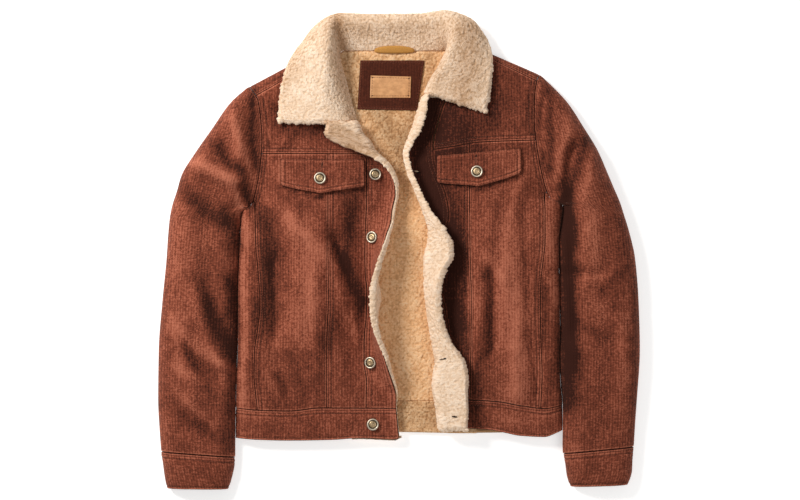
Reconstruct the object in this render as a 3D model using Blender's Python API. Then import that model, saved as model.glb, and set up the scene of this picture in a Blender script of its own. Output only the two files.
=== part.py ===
"""Sherpa lined corduroy jacket, laid flat on its back with the front open.

X runs to the viewer's right, Y from the hem to the collar and Z up from the surface that it
lies on. "Left" and "right" are the viewer's. Lengths are in millimetres until a mesh is made.
"""
import math
from collections import namedtuple

import bmesh
import bpy
import numpy as np
from mathutils import Vector

MM = 0.001

# Cloth, from the outside inwards
CORDUROY = 2.5
SHERPA = 6.0
COLLAR_PILE = 4.5
UNDER_COLLAR = 2.0
BAND_RAISED = 1.5
CUFF_WALL = 4.0
SLEEVE_WALL = 2.5
SEAM_GAP = 0.3

# Heights above the surface; the seams at the sides have a gap between upper and lower pieces
SIDE_SEAM_Z = 9.15
UPPER_SEAM_Z = SIDE_SEAM_Z + SEAM_GAP
LOWER_SEAM_Z = SIDE_SEAM_Z - SEAM_GAP
LINING_Z = CORDUROY + SEAM_GAP
LINING_TOP = LINING_Z + SHERPA

# How far the cloth takes to round over at its edges
SIDE_ROLL = 34.0
SHOULDER_ROLL = 30.0
ARMHOLE_DIP = 46.0
OPENING_SLOPE = 78.0
UNDER_ROLL = 9.0

# Pieces at the opening
FACING_REACH = 24.0
FACING_PROUD = 3.0
FACING_PROUD_HEM = 0.5
LAPEL_TUCK = 16.0

BAND_SEAM_Y = -262.0

NUDGE = 0.02

LEFT, RIGHT = -1, 1
SIDE_NAME = {LEFT: "left", RIGHT: "right"}


class Table:
    """A short table whose columns are read at any value of the first, with no overshoot."""

    def __init__(self, columns, rows):
        self.columns = columns.split()
        self.rows = np.array(rows, float)
        self.key = self.rows[:, 0]
        slope = np.diff(self.rows, axis=0) / np.diff(self.key)[:, None]
        before, after = slope[:-1], slope[1:]
        total = np.where(before + after == 0, 1, before + after)
        inner = np.where(before * after > 0, 2 * before * after / total, 0)
        self.slope = np.vstack([slope[:1], inner, slope[-1:]])

    def at(self, where, column=None):
        """Return one column, the second if none is named."""
        j = self.columns.index(column) if column else 1
        where = np.clip(where, self.key[0], self.key[-1])
        i = np.clip(np.searchsorted(self.key, where, side="right") - 1, 0, len(self.key) - 2)
        step = self.key[i + 1] - self.key[i]
        t = (where - self.key[i]) / step
        rise = self.rows[i + 1, j] - self.rows[i, j]
        ease = t * t * (3 - 2 * t)
        leave = self.slope[i, j] * step * t * (1 - t) ** 2
        arrive = self.slope[i + 1, j] * step * t * t * (1 - t)
        return self.rows[i, j] + rise * ease + leave - arrive


# Side and armhole of the body, up to the tip of the shoulder
BODY_EDGE = {
    LEFT: Table("y x", [
        (-315, -270), (-262, -269.5), (-215, -268.5), (-149, -266), (-80, -266), (-8, -264),
        (40, -261.5), (63, -260), (70, -250), (78, -242), (99, -236), (124, -231), (149, -228),
        (182, -226), (215, -228), (248, -233), (262, -241), (274, -250)]),
    RIGHT: Table("y x", [
        (-310, 270), (-250, 270), (-225, 267), (-165, 264.5), (-132, 266), (-83, 265),
        (17, 264), (50, 268), (74, 271), (80, 262), (87, 249), (116, 238), (149, 231),
        (182, 226), (215, 223), (256, 224), (281, 228), (294, 235)]),
}
ARMPIT_Y = {LEFT: 63.0, RIGHT: 76.0}
ARMPIT_END = 5.0

# Seam of the side panel, which runs into the armhole at the last row
SIDE_SEAM = {
    LEFT: Table("y x", [
        (-262, -234), (-206, -239), (-165, -238), (-132, -233), (-91, -229), (-25, -233),
        (8, -236), (41, -237), (77, -238)]),
    RIGHT: Table("y x", [
        (-262, 234), (-206, 236), (-149, 234), (-99, 233), (-50, 234), (-17, 238), (17, 241),
        (58, 241), (92, 240)]),
}
CENTRE_SEAM = {
    LEFT: Table("y x", [(-262, -120), (-149, -119), (-83, -116), (91, -117), (160, -117)]),
    RIGHT: Table("y x", [(-262, 117), (-83, 119), (0, 117), (99, 116), (185, 116)]),
}

# Cross seams and edges of the fronts
HEM = {
    LEFT: Table("x y", [(-270, -311), (-229, -314), (-180, -315), (-114, -314), (-64, -311),
                        (-7, -313), (2, -309)]),
    RIGHT: Table("x y", [(50, -298), (112, -295), (150, -297), (175, -302), (200, -307),
                         (241, -309), (257, -304), (271, -298)]),
}
BAND_SEAM = {
    LEFT: Table("x y", [(-270, -261), (-229, -265), (-180, -266), (-130, -261), (0, -262)]),
    RIGHT: Table("x y", [(50, -252), (117, -248), (167, -251), (200, -257), (241, -262),
                         (270, -256)]),
}
YOKE_SEAM = {
    LEFT: Table("x y", [(-240, 159), (-20, 159)]),
    RIGHT: Table("x y", [(10, 160), (84, 170), (134, 178), (240, 182)]),
}
SHOULDER_SEAM = {
    LEFT: Table("x y", [(-250, 247), (-120, 322)]),
    RIGHT: Table("x y", [(100, 343), (240, 273)]),
}
SHOULDER_FOLD = {
    LEFT: Table("x y", [(-250, 269), (-120, 338.4)]),
    RIGHT: Table("x y", [(95, 350.4), (240, 287)]),
}
LAPEL_TOP = {LEFT: 209.0, RIGHT: 252.0}
NECK_X = {LEFT: -136.0, RIGHT: 143.0}
NECK_Y = 329.0

# The free edge of each front: where the cloth starts to roll, how high it lies there, how far
# it turns (upwards is positive), the length that turns, the straight length after it, and the
# placket's seam, measured along the cloth from the start of the roll
OPENING = {
    LEFT: Table("y x z turn arc straight seam", [
        (-313, -18, 20.5, 0, 14, 4, -34),
        (-262, -20, 19.5, 4, 12, 3, -34),
        (-239, -29, 19.2, 18, 16, 8, -25),
        (-211, -46, 18.8, 38, 18, 19, -8),
        (-182, -54.6, 18.8, 55, 19.7, 25, -3),
        (-157, -54.5, 18.8, 70, 16, 26, -3),
        (-140, -53.8, 18.8, 80, 14, 28, -3),
        (-119, -51.8, 18.8, 90, 13, 29, -3),
        (-100, -48.8, 18.8, 98, 12, 30, -5),
        (-81, -45.2, 18.8, 104, 12, 30, -8),
        (-62, -48.2, 18.8, 99, 12, 30, -5),
        (-41, -52.6, 18.8, 86, 13, 29, -3),
        (-8, -53.2, 18.8, 70, 15, 27, -3),
        (25, -52.5, 18.8, 52, 18.6, 24, -3),
        (57, -45.4, 18.8, 27, 18, 17, -9),
        (74, -32.4, 18.8, 32, 16, 8, -21),
        (91, -24.4, 18.8, 48, 17, 3, -29.5),
        (107, -23.6, 18.8, 60, 17, 3, -30),
        (124, -26.5, 18.8, 74, 16.5, 3.5, -27),
        (140, -35.5, 18.8, 88, 16.5, 5.5, -18),
        (152, -46.5, 19.2, 112, 17, 9, -8),
        (160, -53.8, 19.4, 140, 17.6, 15, -6),
        (172, -59, 19.6, 162, 18, 35, -7),
        (188, -73, 19.6, 168, 18, 46, -8),
        (209, -82, 19.6, 168, 18, 37, -30),
        (235, -118, 24, 168, 18, 37, -6),
        (340, -118, 24, 168, 18, 37, -6)]),
    RIGHT: Table("y x z turn arc straight seam", [
        (-300, 79, 19.5, 168, 17.6, 33, -3),
        (-264, 75, 18.8, 168, 17.6, 40, -3),
        (-223, 69, 18.8, 168, 17.6, 43, -3),
        (-185, 73, 18.8, 165, 17.6, 34, -4),
        (-140, 66, 18.8, 150, 15.7, 15, -17),
        (-102, 60, 18.8, 130, 13.6, 17, -17),
        (-66, 56, 18.8, 130, 13.6, 22, -12),
        (-33, 55, 18.8, 145, 15.2, 27, -6),
        (-13, 55, 18.8, 155, 16.2, 35, -3),
        (12, 61, 18.8, 150, 15.7, 29, -5),
        (33, 62, 18.8, 140, 14.7, 19.5, -14),
        (66, 53, 18.8, 115, 12.6, 6.4, -29),
        (100, 42, 18.8, 88, 12, 4, -32),
        (132, 29, 18.8, 85, 12, 4, -32),
        (157, 24, 18.8, 88, 12, 4, -32),
        (177, 28, 19.2, 100, 12, 8, -28),
        (198, 36, 19.6, 112, 12, 12, -24),
        (228, 45, 19.6, 112, 12, 12, -24),
        (252, 55, 19.6, 100, 12, 8, -24),
        (262, 84, 24, 100, 12, 8, -6),
        (350, 96, 24, 100, 12, 8, -6)]),
}

# Height of the cloth over the chest, from the hem to the shoulder
CHEST = {
    LEFT: Table("y z", [(-315, 22), (-262, 25), (-200, 34), (-80, 38), (60, 36), (160, 31),
                        (240, 28), (340, 27)]),
    RIGHT: Table("y z", [(-310, 23), (-262, 25), (-200, 33), (-80, 36), (60, 36), (160, 32),
                         (240, 28), (350, 27)]),
}
# Height of the seam along the armhole, by the rise above the armpit
ARMHOLE_RISE = Table("rise z", [
    (-12, UPPER_SEAM_Z), (2, UPPER_SEAM_Z), (14, 19), (34, 27), (60, 30), (210, 30)])

Fold = namedtuple("Fold", "x0 y0 x1 y1 width height")
FOLDS = [Fold(*row) for row in [
    # left sleeve
    (-271, 218, -246, 132, 14, 6), (-320, 140, -268, 111, 13, 6), (-345, 91, -287, 41, 14, -6),
    (-318, -62, -273, -160, 14, -7), (-334, -88, -282, -206, 12, 5),
    (-361, -165, -304, -215, 12, -4), (-361, -272, -304, -310, 12, -4),
    # right sleeve
    (281, 83, 289, -132, 15, -7), (316, 132, 324, -33, 17, 5), (287, 165, 276, 83, 11, -5),
    (274, -36, 332, -38, 9, -4), (330, -58, 373, -85, 12, -4), (300, -190, 350, -240, 14, -3),
    # left front
    (-205, 83, -114, 17, 18, 4), (-150, 17, -150, -132, 26, 4), (-200, -33, -200, -116, 18, -5),
    (-205, -190, -186, -231, 12, -4), (-97, 16, -70, -66, 13, -10), (-84, -83, -66, -132, 9, 3),
    # right front
    (108, 130, 104, -100, 20, -4), (195, -17, 195, -240, 26, 5), (150, -13, 170, -44, 10, 4),
    (150, -40, 150, -165, 11, -5), (200, -185, 218, -208, 12, -4),
]]

# Sleeves, by the place of each section's inner end: its outer end and its height
SLEEVE = {
    LEFT: Table("inner_y outer_x outer_y height", [
        (-342, -394, -333, 33), (-300, -396.5, -298, 35), (-248, -399, -248, 38),
        (-165, -398, -165, 40), (-83, -392, -86, 42), (-8, -385, -14, 43), (33, -382.5, 23, 44),
        (63, -380, 50, 44), (85, -376, 72, 44), (118, -368, 97, 44), (149, -360, 124, 43),
        (190, -336, 163, 41), (225, -308, 203, 38), (252, -280, 243, 32), (262, -263, 259, 24),
        (273, -247, 272, 11)]),
    RIGHT: Table("inner_y outer_x outer_y height", [
        (-336, 389, -325, 33), (-290, 391.5, -283, 35), (-248, 394, -248, 38),
        (-165, 399, -165, 40), (-83, 397, -88, 42), (-8, 391, -14, 43), (45, 381, 31, 44),
        (76, 373, 57, 44), (95, 366, 79, 44), (120, 357, 100, 44), (149, 346, 126, 43),
        (190, 329, 165, 41), (225, 306, 203, 38), (256, 280, 243, 33), (275, 260, 265, 26),
        (293, 233, 291, 11)]),
}
CUFF = {
    LEFT: Table("along inner_x inner_y outer_x outer_y height", [
        (0, -271, -343, -394, -334, 33), (0.35, -272.5, -358, -391, -354, 33),
        (0.7, -277, -378, -388, -376, 31), (1, -282, -396, -384, -395, 29)]),
    RIGHT: Table("along inner_x inner_y outer_x outer_y height", [
        (0, 272, -337, 389, -326, 33), (0.35, 275, -352, 387, -345, 33),
        (0.7, 278, -374, 386, -366, 31), (1, 284, -392, 379, -389, 29)]),
}

# Sections of the collar, round from the viewer's left point to the right one: the neck seam,
# the wall inside the neck, the top of the roll, where it bends over, the fall and its edge
Section = namedtuple("Section", "neck wall roll bend fall edge")
COLLAR = [Section(*row) for row in [
    ((-68, 214, 16), (-84, 212, 35), (-106, 212, 43), (-134, 211, 45), (-166, 211, 43), (-197, 213, 41)),
    ((-78, 249, 16), (-98, 250, 37), (-119, 252, 48), (-137, 252, 48), (-165, 253, 45), (-195, 252, 41)),
    ((-87, 283, 16), (-101, 288, 37), (-117, 294, 49), (-135, 294, 49), (-162, 294, 45), (-188, 291, 40)),
    ((-96, 314, 13), (-103, 325, 35), (-116, 336, 49), (-133, 336, 48), (-156, 331, 41), (-179, 319, 30)),
    ((-95, 328.5, 9.8), (-101, 349, 28), (-109, 369, 43), (-124, 374, 41), (-144, 365, 27), (-152, 350, 14)),
    ((-80, 329.5, 9.3), (-86, 352, 22), (-94, 375, 32), (-102, 389, 27), (-108, 388, 11), (-105, 371, 4)),
    ((-50, 329.5, 9.3), (-52, 353, 19), (-54, 375, 28), (-56, 389, 22), (-57, 389, 8), (-57, 375, 1)),
    ((-8, 329.5, 9.3), (-8, 353, 19), (-8, 375, 28), (-8, 389, 22), (-8, 389, 8), (-8, 375, 1)),
    ((36, 329.5, 9.3), (36, 353, 19), (36, 376, 28), (37, 390, 22), (38, 390, 8), (40, 376, 1)),
    ((66, 329.5, 9.3), (66, 352, 22), (69, 379, 33), (77, 394, 28), (86, 393, 12), (87, 374, 4)),
    ((82, 329.5, 9.8), (79, 346, 29), (87, 364, 44), (102, 376, 42), (122, 379, 27), (133, 365, 14)),
    ((81, 316, 11), (76, 326, 31), (85, 337, 48), (103, 344, 49), (129, 342, 41), (152, 335, 28)),
    ((72, 295, 12), (63, 300, 32), (73, 306, 48), (93, 305, 49), (123, 303, 45), (153, 300, 38)),
    ((58, 276, 12), (49, 278, 31), (59, 281, 46), (80, 279, 47), (115, 272, 45), (149, 265, 40)),
    ((50, 260, 12), (41, 259, 29), (51, 257, 42), (72, 251, 44), (106, 240, 43), (142, 230, 40)),
]]

FLAP_TOP = {
    LEFT: Table("x y", [(-195, 150), (-58, 149)]),
    RIGHT: Table("x y", [(63, 156), (201, 168)]),
}
FLAP_POINT = {
    LEFT: Table("x y", [(-195, 107), (-188, 104), (-134, 93.6), (-130, 92.8), (-126, 93.5), (-58, 104.5)]),
    RIGHT: Table("x y", [(63, 113), (68, 111), (126, 105), (130, 104.3), (134, 105.3), (192, 123), (201, 128)]),
}

FLAP_LIFT = 0.8
FLAP_WALL = 2.6
FLAP_ROWS = 4

# The back, its band and its lining
BAND_SEAM_BACK = Table("x y", [(-270, -261), (-100, -256), (0, -251), (110, -251), (200, -254),
                               (270, -256)])
HEM_BACK = Table("x y", [(-270, -309), (-60, -302), (0, -299), (110, -301), (200, -300),
                         (271, -298)])
BAND_WALL = CORDUROY + BAND_RAISED
BACK_LEVEL_Y = 0.0
BACK_COLUMNS = 6
LINING_SEAM_Y = -250.0
LINING_HEM_X = (-254.0, 254.0)
LINING_HEM_PROUD = 2.0
LINING_HEM_WALL = 5.0
LINING_INSET = 17.0
LINING_BELOW = 25.0
LINING_ROWS = 8
LINING_COLUMNS = 8

# Rows down the sleeves below the armpit, by their inner ends
SLEEVE_LEVELS = {
    LEFT: (-342, -300, -255, -210, -170, -130, -90, -50, -15, 15, 40),
    RIGHT: (-336, -298, -255, -210, -170, -130, -90, -50, -15, 18, 50),
}
SLEEVE_HEAD_GAP = 10.0
CUFF_ROWS = 3
CUFF_ROLL = 32.0
COLLAR_ROWS = 21
COLLAR_COLUMNS = 11

# Inside the back of the neck
LOOP_ALONG = (6.24, 7.75)
LOOP_ACROSS = (0.10, 0.38)
LOOP_BOW = 0.12
LOOP_LIFT = 0.5
LOOP_LIFT_MIDDLE = 2.0
LOOP_WALL = 2.5
PATCH = ((-69, 233), (30, 231), (42, 314), (-64, 314))
PATCH_WALL = 2.0
LABEL = ((-48, 252), (19, 252), (20, 287), (-47, 289))
LABEL_WALL = 1.5

# A button: radius and height, from the foot of its shank round to the middle of its face
BUTTON_PROFILE = [(0, 0), (4, 0), (4, 1.4), (9, 1.6), (10, 2.8), (9.6, 4.4), (7.4, 4.9),
                  (6.4, 3.9), (0, 4.5)]
BUTTON_SIDES = 12
BUTTON_CLEARANCE = 0.8

POCKET_BUTTON = {LEFT: (-130, 118), RIGHT: (129, 129)}
# Buttons down the placket: height up the front and distance in from the free edge
PLACKET_BUTTONS = [(125, 33), (21, 33), (-81, 21), (-186, 36), (-288, 41)]


class Row(namedtuple("Row", "lower upper share shift", defaults=(0.0,))):
    """A row of points, a share of the way from one border to another, then shifted."""

    def y(self, x):
        """Return the row's y at x."""
        return self.lower.at(x) * (1 - self.share) + self.upper.at(x) * self.share + self.shift


def even_steps(count):
    """Return shares from 0 to 1, evenly spaced."""
    return [step / count for step in range(count + 1)]


def round_steps(count):
    """Return shares from 0 to 1 that divide a quarter circle evenly, closest at 0."""
    return [1 - math.cos(math.pi / 2 * step / count) for step in range(count + 1)]


def ease(t):
    """Rise from 0 to 1 with no slope at either end."""
    t = np.clip(t, 0, 1)
    return t * t * (3 - 2 * t)


def in_armhole(above):
    """Return 1 where a place above the armpit is at the armhole, 0 beside a side seam."""
    return np.where(above > ARMPIT_END, 1.0, 0.0)


def dome(t):
    """Rise from 0 to 1 as a quarter circle does, upright at 0 and level at 1."""
    return np.sqrt(1 - (1 - np.clip(t, 0, 1)) ** 2)


def folds(x, y):
    """Return the height that the folds add at a place."""
    total = np.zeros(np.broadcast(x, y).shape)
    for fold in FOLDS:
        run = np.array([fold.x1 - fold.x0, fold.y1 - fold.y0], float)
        length = np.hypot(*run)
        run /= length
        along = (x - fold.x0) * run[0] + (y - fold.y0) * run[1]
        beyond = np.maximum(np.maximum(-along, along - length), 0) / 1.8
        across = (y - fold.y0) * run[0] - (x - fold.x0) * run[1]
        total += fold.height * np.exp(-(across ** 2 + beyond ** 2) / fold.width ** 2)
    return total


def fold_line(side, x):
    """Return y of a shoulder's fold at x, carried on past its ends."""
    (x0, y0), (x1, y1) = SHOULDER_FOLD[side].rows
    return y0 + (y1 - y0) / (x1 - x0) * (x - x0)


def from_shoulder(side, x, y):
    """Return the distance from a place to a shoulder's fold."""
    return (fold_line(side, x) - y) / math.hypot(1, fold_line(side, 1.0) - fold_line(side, 0.0))


class Front:
    """One front, from the side seam to its free edge, as a rolled surface.

    A place on it is c, the length along the cloth past the start of the roll, and y.
    """

    def __init__(self, side):
        self.side = side
        self.heading = -side
        self.opening = OPENING[side]
        self.edge = BODY_EDGE[side]

    def cloth(self, x, y):
        """Return c at a place on the flat part."""
        return self.heading * (x - self.opening.at(y, "x"))

    def free_edge(self, y):
        """Return c at the free edge."""
        return self.opening.at(y, "arc") + self.opening.at(y, "straight")

    def placket_seam(self, y):
        """Return c at the placket's seam."""
        return self.opening.at(y, "seam")

    def facing_edge(self, y):
        """Return c at the facing's inner edge."""
        return self.placket_seam(y) - FACING_REACH

    def outer_edge(self, y):
        """Return c at the side seam or the armhole."""
        return self.cloth(self.edge.at(y), y)

    def side_seam(self, y):
        """Return c at the side panel's seam, or at the armhole above it."""
        seam = SIDE_SEAM[self.side]
        x = np.where(y < seam.key[-1] + 3, seam.at(y), self.edge.at(y))
        return self.cloth(x, y)

    def centre_seam(self, y):
        """Return c at the seam below the pocket."""
        return self.cloth(CENTRE_SEAM[self.side].at(y), y)

    def height(self, x, y):
        """Return the height of the flat part at a place."""
        rise = CHEST[self.side].at(y) + folds(x, y)
        base = self.opening.at(y, "z")
        from_roll = self.side * (x - self.opening.at(y, "x"))
        z = base + (rise - base) * ease(from_roll / OPENING_SLOPE)
        above = y - ARMPIT_Y[self.side]
        seam, soft = ARMHOLE_RISE.at(above), in_armhole(above)
        from_edge = self.side * (self.edge.at(y) - x)
        shape = (1 - soft) * dome(from_edge / SIDE_ROLL) + soft * ease(from_edge / ARMHOLE_DIP)
        z = seam + (z - seam) * shape
        shape = dome(from_shoulder(self.side, x, y) / SHOULDER_ROLL)
        return UPPER_SEAM_Z + (z - UPPER_SEAM_Z) * shape

    def point(self, c, y):
        """Return points on the outer face."""
        start = self.opening.at(y, "x")
        turn = np.radians(self.opening.at(y, "turn"))
        turn = np.where(np.abs(turn) < 0.001, 0.001, turn)
        arc = self.opening.at(y, "arc")
        past = np.maximum(c, 0)
        angle = turn * np.minimum(past / arc, 1)
        straight = np.maximum(past - arc, 0)
        forward = arc / turn * np.sin(angle) + straight * np.cos(turn) + np.minimum(c, 0)
        up = arc / turn * (1 - np.cos(angle)) + straight * np.sin(turn)
        x = start + self.heading * forward
        flat = self.height(start + self.heading * np.minimum(c, 0), y)
        return np.stack([x, y + 0 * x, flat + up], -1)

    def lifted(self, c, y, lift):
        """Return points moved out from the outer face by a distance."""
        across = self.point(c + NUDGE, y) - self.point(c - NUDGE, y)
        along = self.point(c, y + NUDGE) - self.point(c, y - NUDGE)
        normal = np.cross(across, along) * self.heading
        normal /= np.linalg.norm(normal, axis=-1)[..., None]
        return self.point(c, y) + normal * lift

    def grid(self, guides, steps, rows, trim=(SEAM_GAP / 2, SEAM_GAP / 2)):
        """Return the places of a piece's points.

        Its columns lie between the guides, which give c at y, at the steps' shares of the way
        from each guide to the next.
        """
        shares = [(k, t) for k, stretch in enumerate(steps) for t in stretch[:-1]]
        shares.append((len(steps) - 1, 1.0))
        y = np.array([[row.y(0.0)] * len(shares) for row in rows])
        c = np.zeros_like(y)
        for _ in range(8):
            lines = [guide(y) for guide in guides]
            lines[0] = lines[0] + trim[0]
            lines[-1] = lines[-1] - trim[1]
            for i, (k, t) in enumerate(shares):
                c[:, i] = lines[k][:, i] * (1 - t) + lines[k + 1][:, i] * t
            x = self.point(c, y)[..., 0]
            for j, row in enumerate(rows):
                y[j] = row.y(x[j])
        return c, y


class Sleeve:
    """One sleeve: sections from its inner line to its outer one, by the inner end's y."""

    def __init__(self, front):
        self.front = front
        self.side = front.side
        self.table = SLEEVE[front.side]

    def ends(self, key):
        """Return the inner and outer ends of the sections."""
        above = key - ARMPIT_Y[self.side]
        apart = SEAM_GAP + 1.5 * ease(-above / 40) + 1.2 * np.exp(-((above - 6) / 12) ** 2)
        inner_x = self.front.edge.at(key) + self.side * apart
        outer = self.table.at(key, "outer_x"), self.table.at(key, "outer_y")
        return (inner_x, key), outer

    def plan(self, u, key):
        """Return the place of a point, a share u of the way out along its section."""
        (x0, y0), (x1, y1) = self.ends(key)
        width = np.hypot(x1 - x0, y1 - y0)
        return x0 * (1 - u) + x1 * u, y0 * (1 - u) + y1 * u, width

    def top(self, u, key):
        """Return points on the upper face."""
        x, y, width = self.plan(u, key)
        (x0, y0), _ = self.ends(key)
        above = key - ARMPIT_Y[self.side]
        soft = in_armhole(above)
        seam = self.front.height(self.front.edge.at(y0), y0)
        near = np.minimum(ARMHOLE_DIP, width * 0.5)
        roll = np.minimum(SIDE_ROLL, width * 0.5)
        shape = (1 - soft) * dome(u * width / roll) + soft * ease(u * width / near)
        z = seam + (self.table.at(key, "height") + folds(x, y) - seam) * shape
        z = UPPER_SEAM_Z + (z - UPPER_SEAM_Z) * dome((1 - u) * width / roll)
        return np.stack([x, y, z], -1)

    def under(self, u, key):
        """Return points on the lower face."""
        x, y, width = self.plan(u, key)
        above = key - ARMPIT_Y[self.side]
        rolled = 1 - in_armhole(above)
        roll = np.minimum(UNDER_ROLL, width * 0.3)
        z = LOWER_SEAM_Z * (1 - dome(u * width / roll)) * rolled
        z = np.maximum(z, LOWER_SEAM_Z * (1 - dome((1 - u) * width / roll)))
        return np.stack([x, y, z], -1)


def back_face(x, y):
    """Return points on the lower face of the back."""
    z = np.zeros_like(x)
    for side in (LEFT, RIGHT):
        rolled = 1 - in_armhole(y - ARMPIT_Y[side])
        from_edge = side * (BODY_EDGE[side].at(y) - x)
        z = np.maximum(z, LOWER_SEAM_Z * rolled * (1 - dome(from_edge / UNDER_ROLL)))
        above_neck = ease((NECK_Y - 0.5 - y) / 8)
        shape = 1 - dome(from_shoulder(side, x, y) / UNDER_ROLL)
        z = np.maximum(z, LOWER_SEAM_Z * above_neck * shape)
    return np.stack([x, y, z], -1)


def walls(surface, a, b, up, depths, step=NUDGE):
    """Return grids at depths behind a surface of two values, whose outside is up or down."""
    across = surface(a + step, b) - surface(a - step, b)
    along = surface(a, b + step) - surface(a, b - step)
    normal = np.cross(across, along)
    normal /= np.linalg.norm(normal, axis=-1)[..., None]
    middle = normal[normal.shape[0] // 2, normal.shape[1] // 2, 2]
    normal *= math.copysign(1, middle * up)
    return [surface(a, b) - normal * depth for depth in depths]


def spline(points, at):
    """Read a smooth curve through points, one for each whole number."""
    points = np.asarray(points, float)
    slope = np.gradient(points, axis=0)
    at = np.clip(at, 0, len(points) - 1)
    i = np.minimum(at.astype(int), len(points) - 2)
    t = (at - i)[..., None]
    rise = points[i + 1] - points[i]
    return (points[i] + rise * t * t * (3 - 2 * t) + slope[i] * t * (1 - t) ** 2
            - slope[i + 1] * t * t * (1 - t))


def collar_face(along_profile, along_collar):
    """Return points on the collar's outer face; both values count the table's points."""
    last = len(Section._fields) - 1
    lines = [spline([section[k] for section in COLLAR], along_collar)
             for k in range(last + 1)]
    lines = np.stack(lines, 0)
    slope = np.gradient(lines, axis=0)
    at = np.clip(along_profile, 0, last)
    i = np.minimum(at.astype(int), last - 1)
    t = (at - i)[..., None]

    def pick(values, k):
        return np.take_along_axis(values, k[None, ..., None], axis=0)[0]

    start, end = pick(lines, i), pick(lines, i + 1)
    return (start + (end - start) * t * t * (3 - 2 * t) + pick(slope, i) * t * (1 - t) ** 2
            - pick(slope, i + 1) * t * t * (1 - t))


# ---------------------------------------------------------------- meshes and materials

def finish(name, colour, metallic=0.0, roughness=0.9):
    """Make a material."""
    material = bpy.data.materials.new(name)
    material.use_nodes = True
    shader = material.node_tree.nodes["Principled BSDF"]
    shader.inputs["Base Color"].default_value = (*colour, 1)
    shader.inputs["Metallic"].default_value = metallic
    shader.inputs["Roughness"].default_value = roughness
    return material


def add_object(name, bm, material):
    """Turn a bmesh, in millimetres, into a named object."""
    bmesh.ops.recalc_face_normals(bm, faces=bm.faces)
    bmesh.ops.scale(bm, vec=(MM, MM, MM), verts=bm.verts)
    mesh = bpy.data.meshes.new(name)
    bm.to_mesh(mesh)
    bm.free()
    mesh.materials.append(material)
    mesh.shade_smooth()
    mesh.set_sharp_from_angle(angle=math.radians(40))
    obj = bpy.data.objects.new(name, mesh)
    bpy.context.collection.objects.link(obj)
    return obj


def wall(name, outer, inner, material, ring=False):
    """Make the closed wall between two grids of points; a ring also closes on itself."""
    rows, columns = outer.shape[:2]
    bm = bmesh.new()
    faces = [[[bm.verts.new(p) for p in row] for row in grid] for grid in (outer, inner)]
    last = columns if ring else columns - 1
    for j in range(rows - 1):
        for i in range(last):
            k = (i + 1) % columns
            for grid in faces:
                bm.faces.new((grid[j][i], grid[j][k], grid[j + 1][k]))
                bm.faces.new((grid[j][i], grid[j + 1][k], grid[j + 1][i]))
    front, back = faces
    for j in (0, rows - 1):
        for i in range(last):
            k = (i + 1) % columns
            bm.faces.new((front[j][i], front[j][k], back[j][k], back[j][i]))
    for i in () if ring else (0, columns - 1):
        for j in range(rows - 1):
            bm.faces.new((front[j][i], front[j + 1][i], back[j + 1][i], back[j][i]))
    return add_object(name, bm, material)


def front_piece(name, front, places, material, lift=0.0, depth=CORDUROY):
    """Make a wall on a front, between two distances from its outer face."""
    c, y = places
    return wall(name, front.lifted(c, y, lift), front.lifted(c, y, lift - depth), material)


def constant(y):
    """Return a border at one y."""
    return Table("x y", [(-400, y), (400, y)])


def even(lower, upper, count):
    """Return evenly spaced rows between two borders."""
    return [Row(lower, upper, share) for share in even_steps(count)]


def trimmed(rows, first=SEAM_GAP / 2, last=SEAM_GAP / 2):
    """Draw the first and last rows in from their borders."""
    return [rows[0]._replace(shift=first), *rows[1:-1], rows[-1]._replace(shift=-last)]


# ---------------------------------------------------------------- the pieces

BAND_ROWS = 3
# Rows up a front, as shares of the way from the band to the yoke, close where it bends
FRONT_SHARES = {
    LEFT: (0, 0.055, 0.11, 0.17, 0.23, 0.29, 0.36, 0.43, 0.5, 0.56, 0.62, 0.68, 0.725, 0.77,
           0.803, 0.85, 0.9, 0.945, 0.975, 1),
    RIGHT: (0, 0.055, 0.11, 0.17, 0.23, 0.29, 0.36, 0.43, 0.5, 0.56, 0.62, 0.67, 0.715, 0.755,
            0.792, 0.84, 0.88, 0.92, 0.96, 1),
}
SIDE_PANEL_ROWS = 15
YOKE_ROWS = 5
SHOULDER_ROWS = 3
LAPEL_ROWS = 4


def front_rows(side, count=None):
    """Return the rows of a front's panels, or the first few of them."""
    shares = FRONT_SHARES[side][:count]
    return [Row(BAND_SEAM[side], YOKE_SEAM[side], share) for share in shares]


def shoulder_rows(side):
    """Return rows from the shoulder's seam to its fold, closest at the fold."""
    shares = [1 - t for t in round_steps(SHOULDER_ROWS)[::-1]]
    return [Row(SHOULDER_SEAM[side], SHOULDER_FOLD[side], share) for share in shares]


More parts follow.
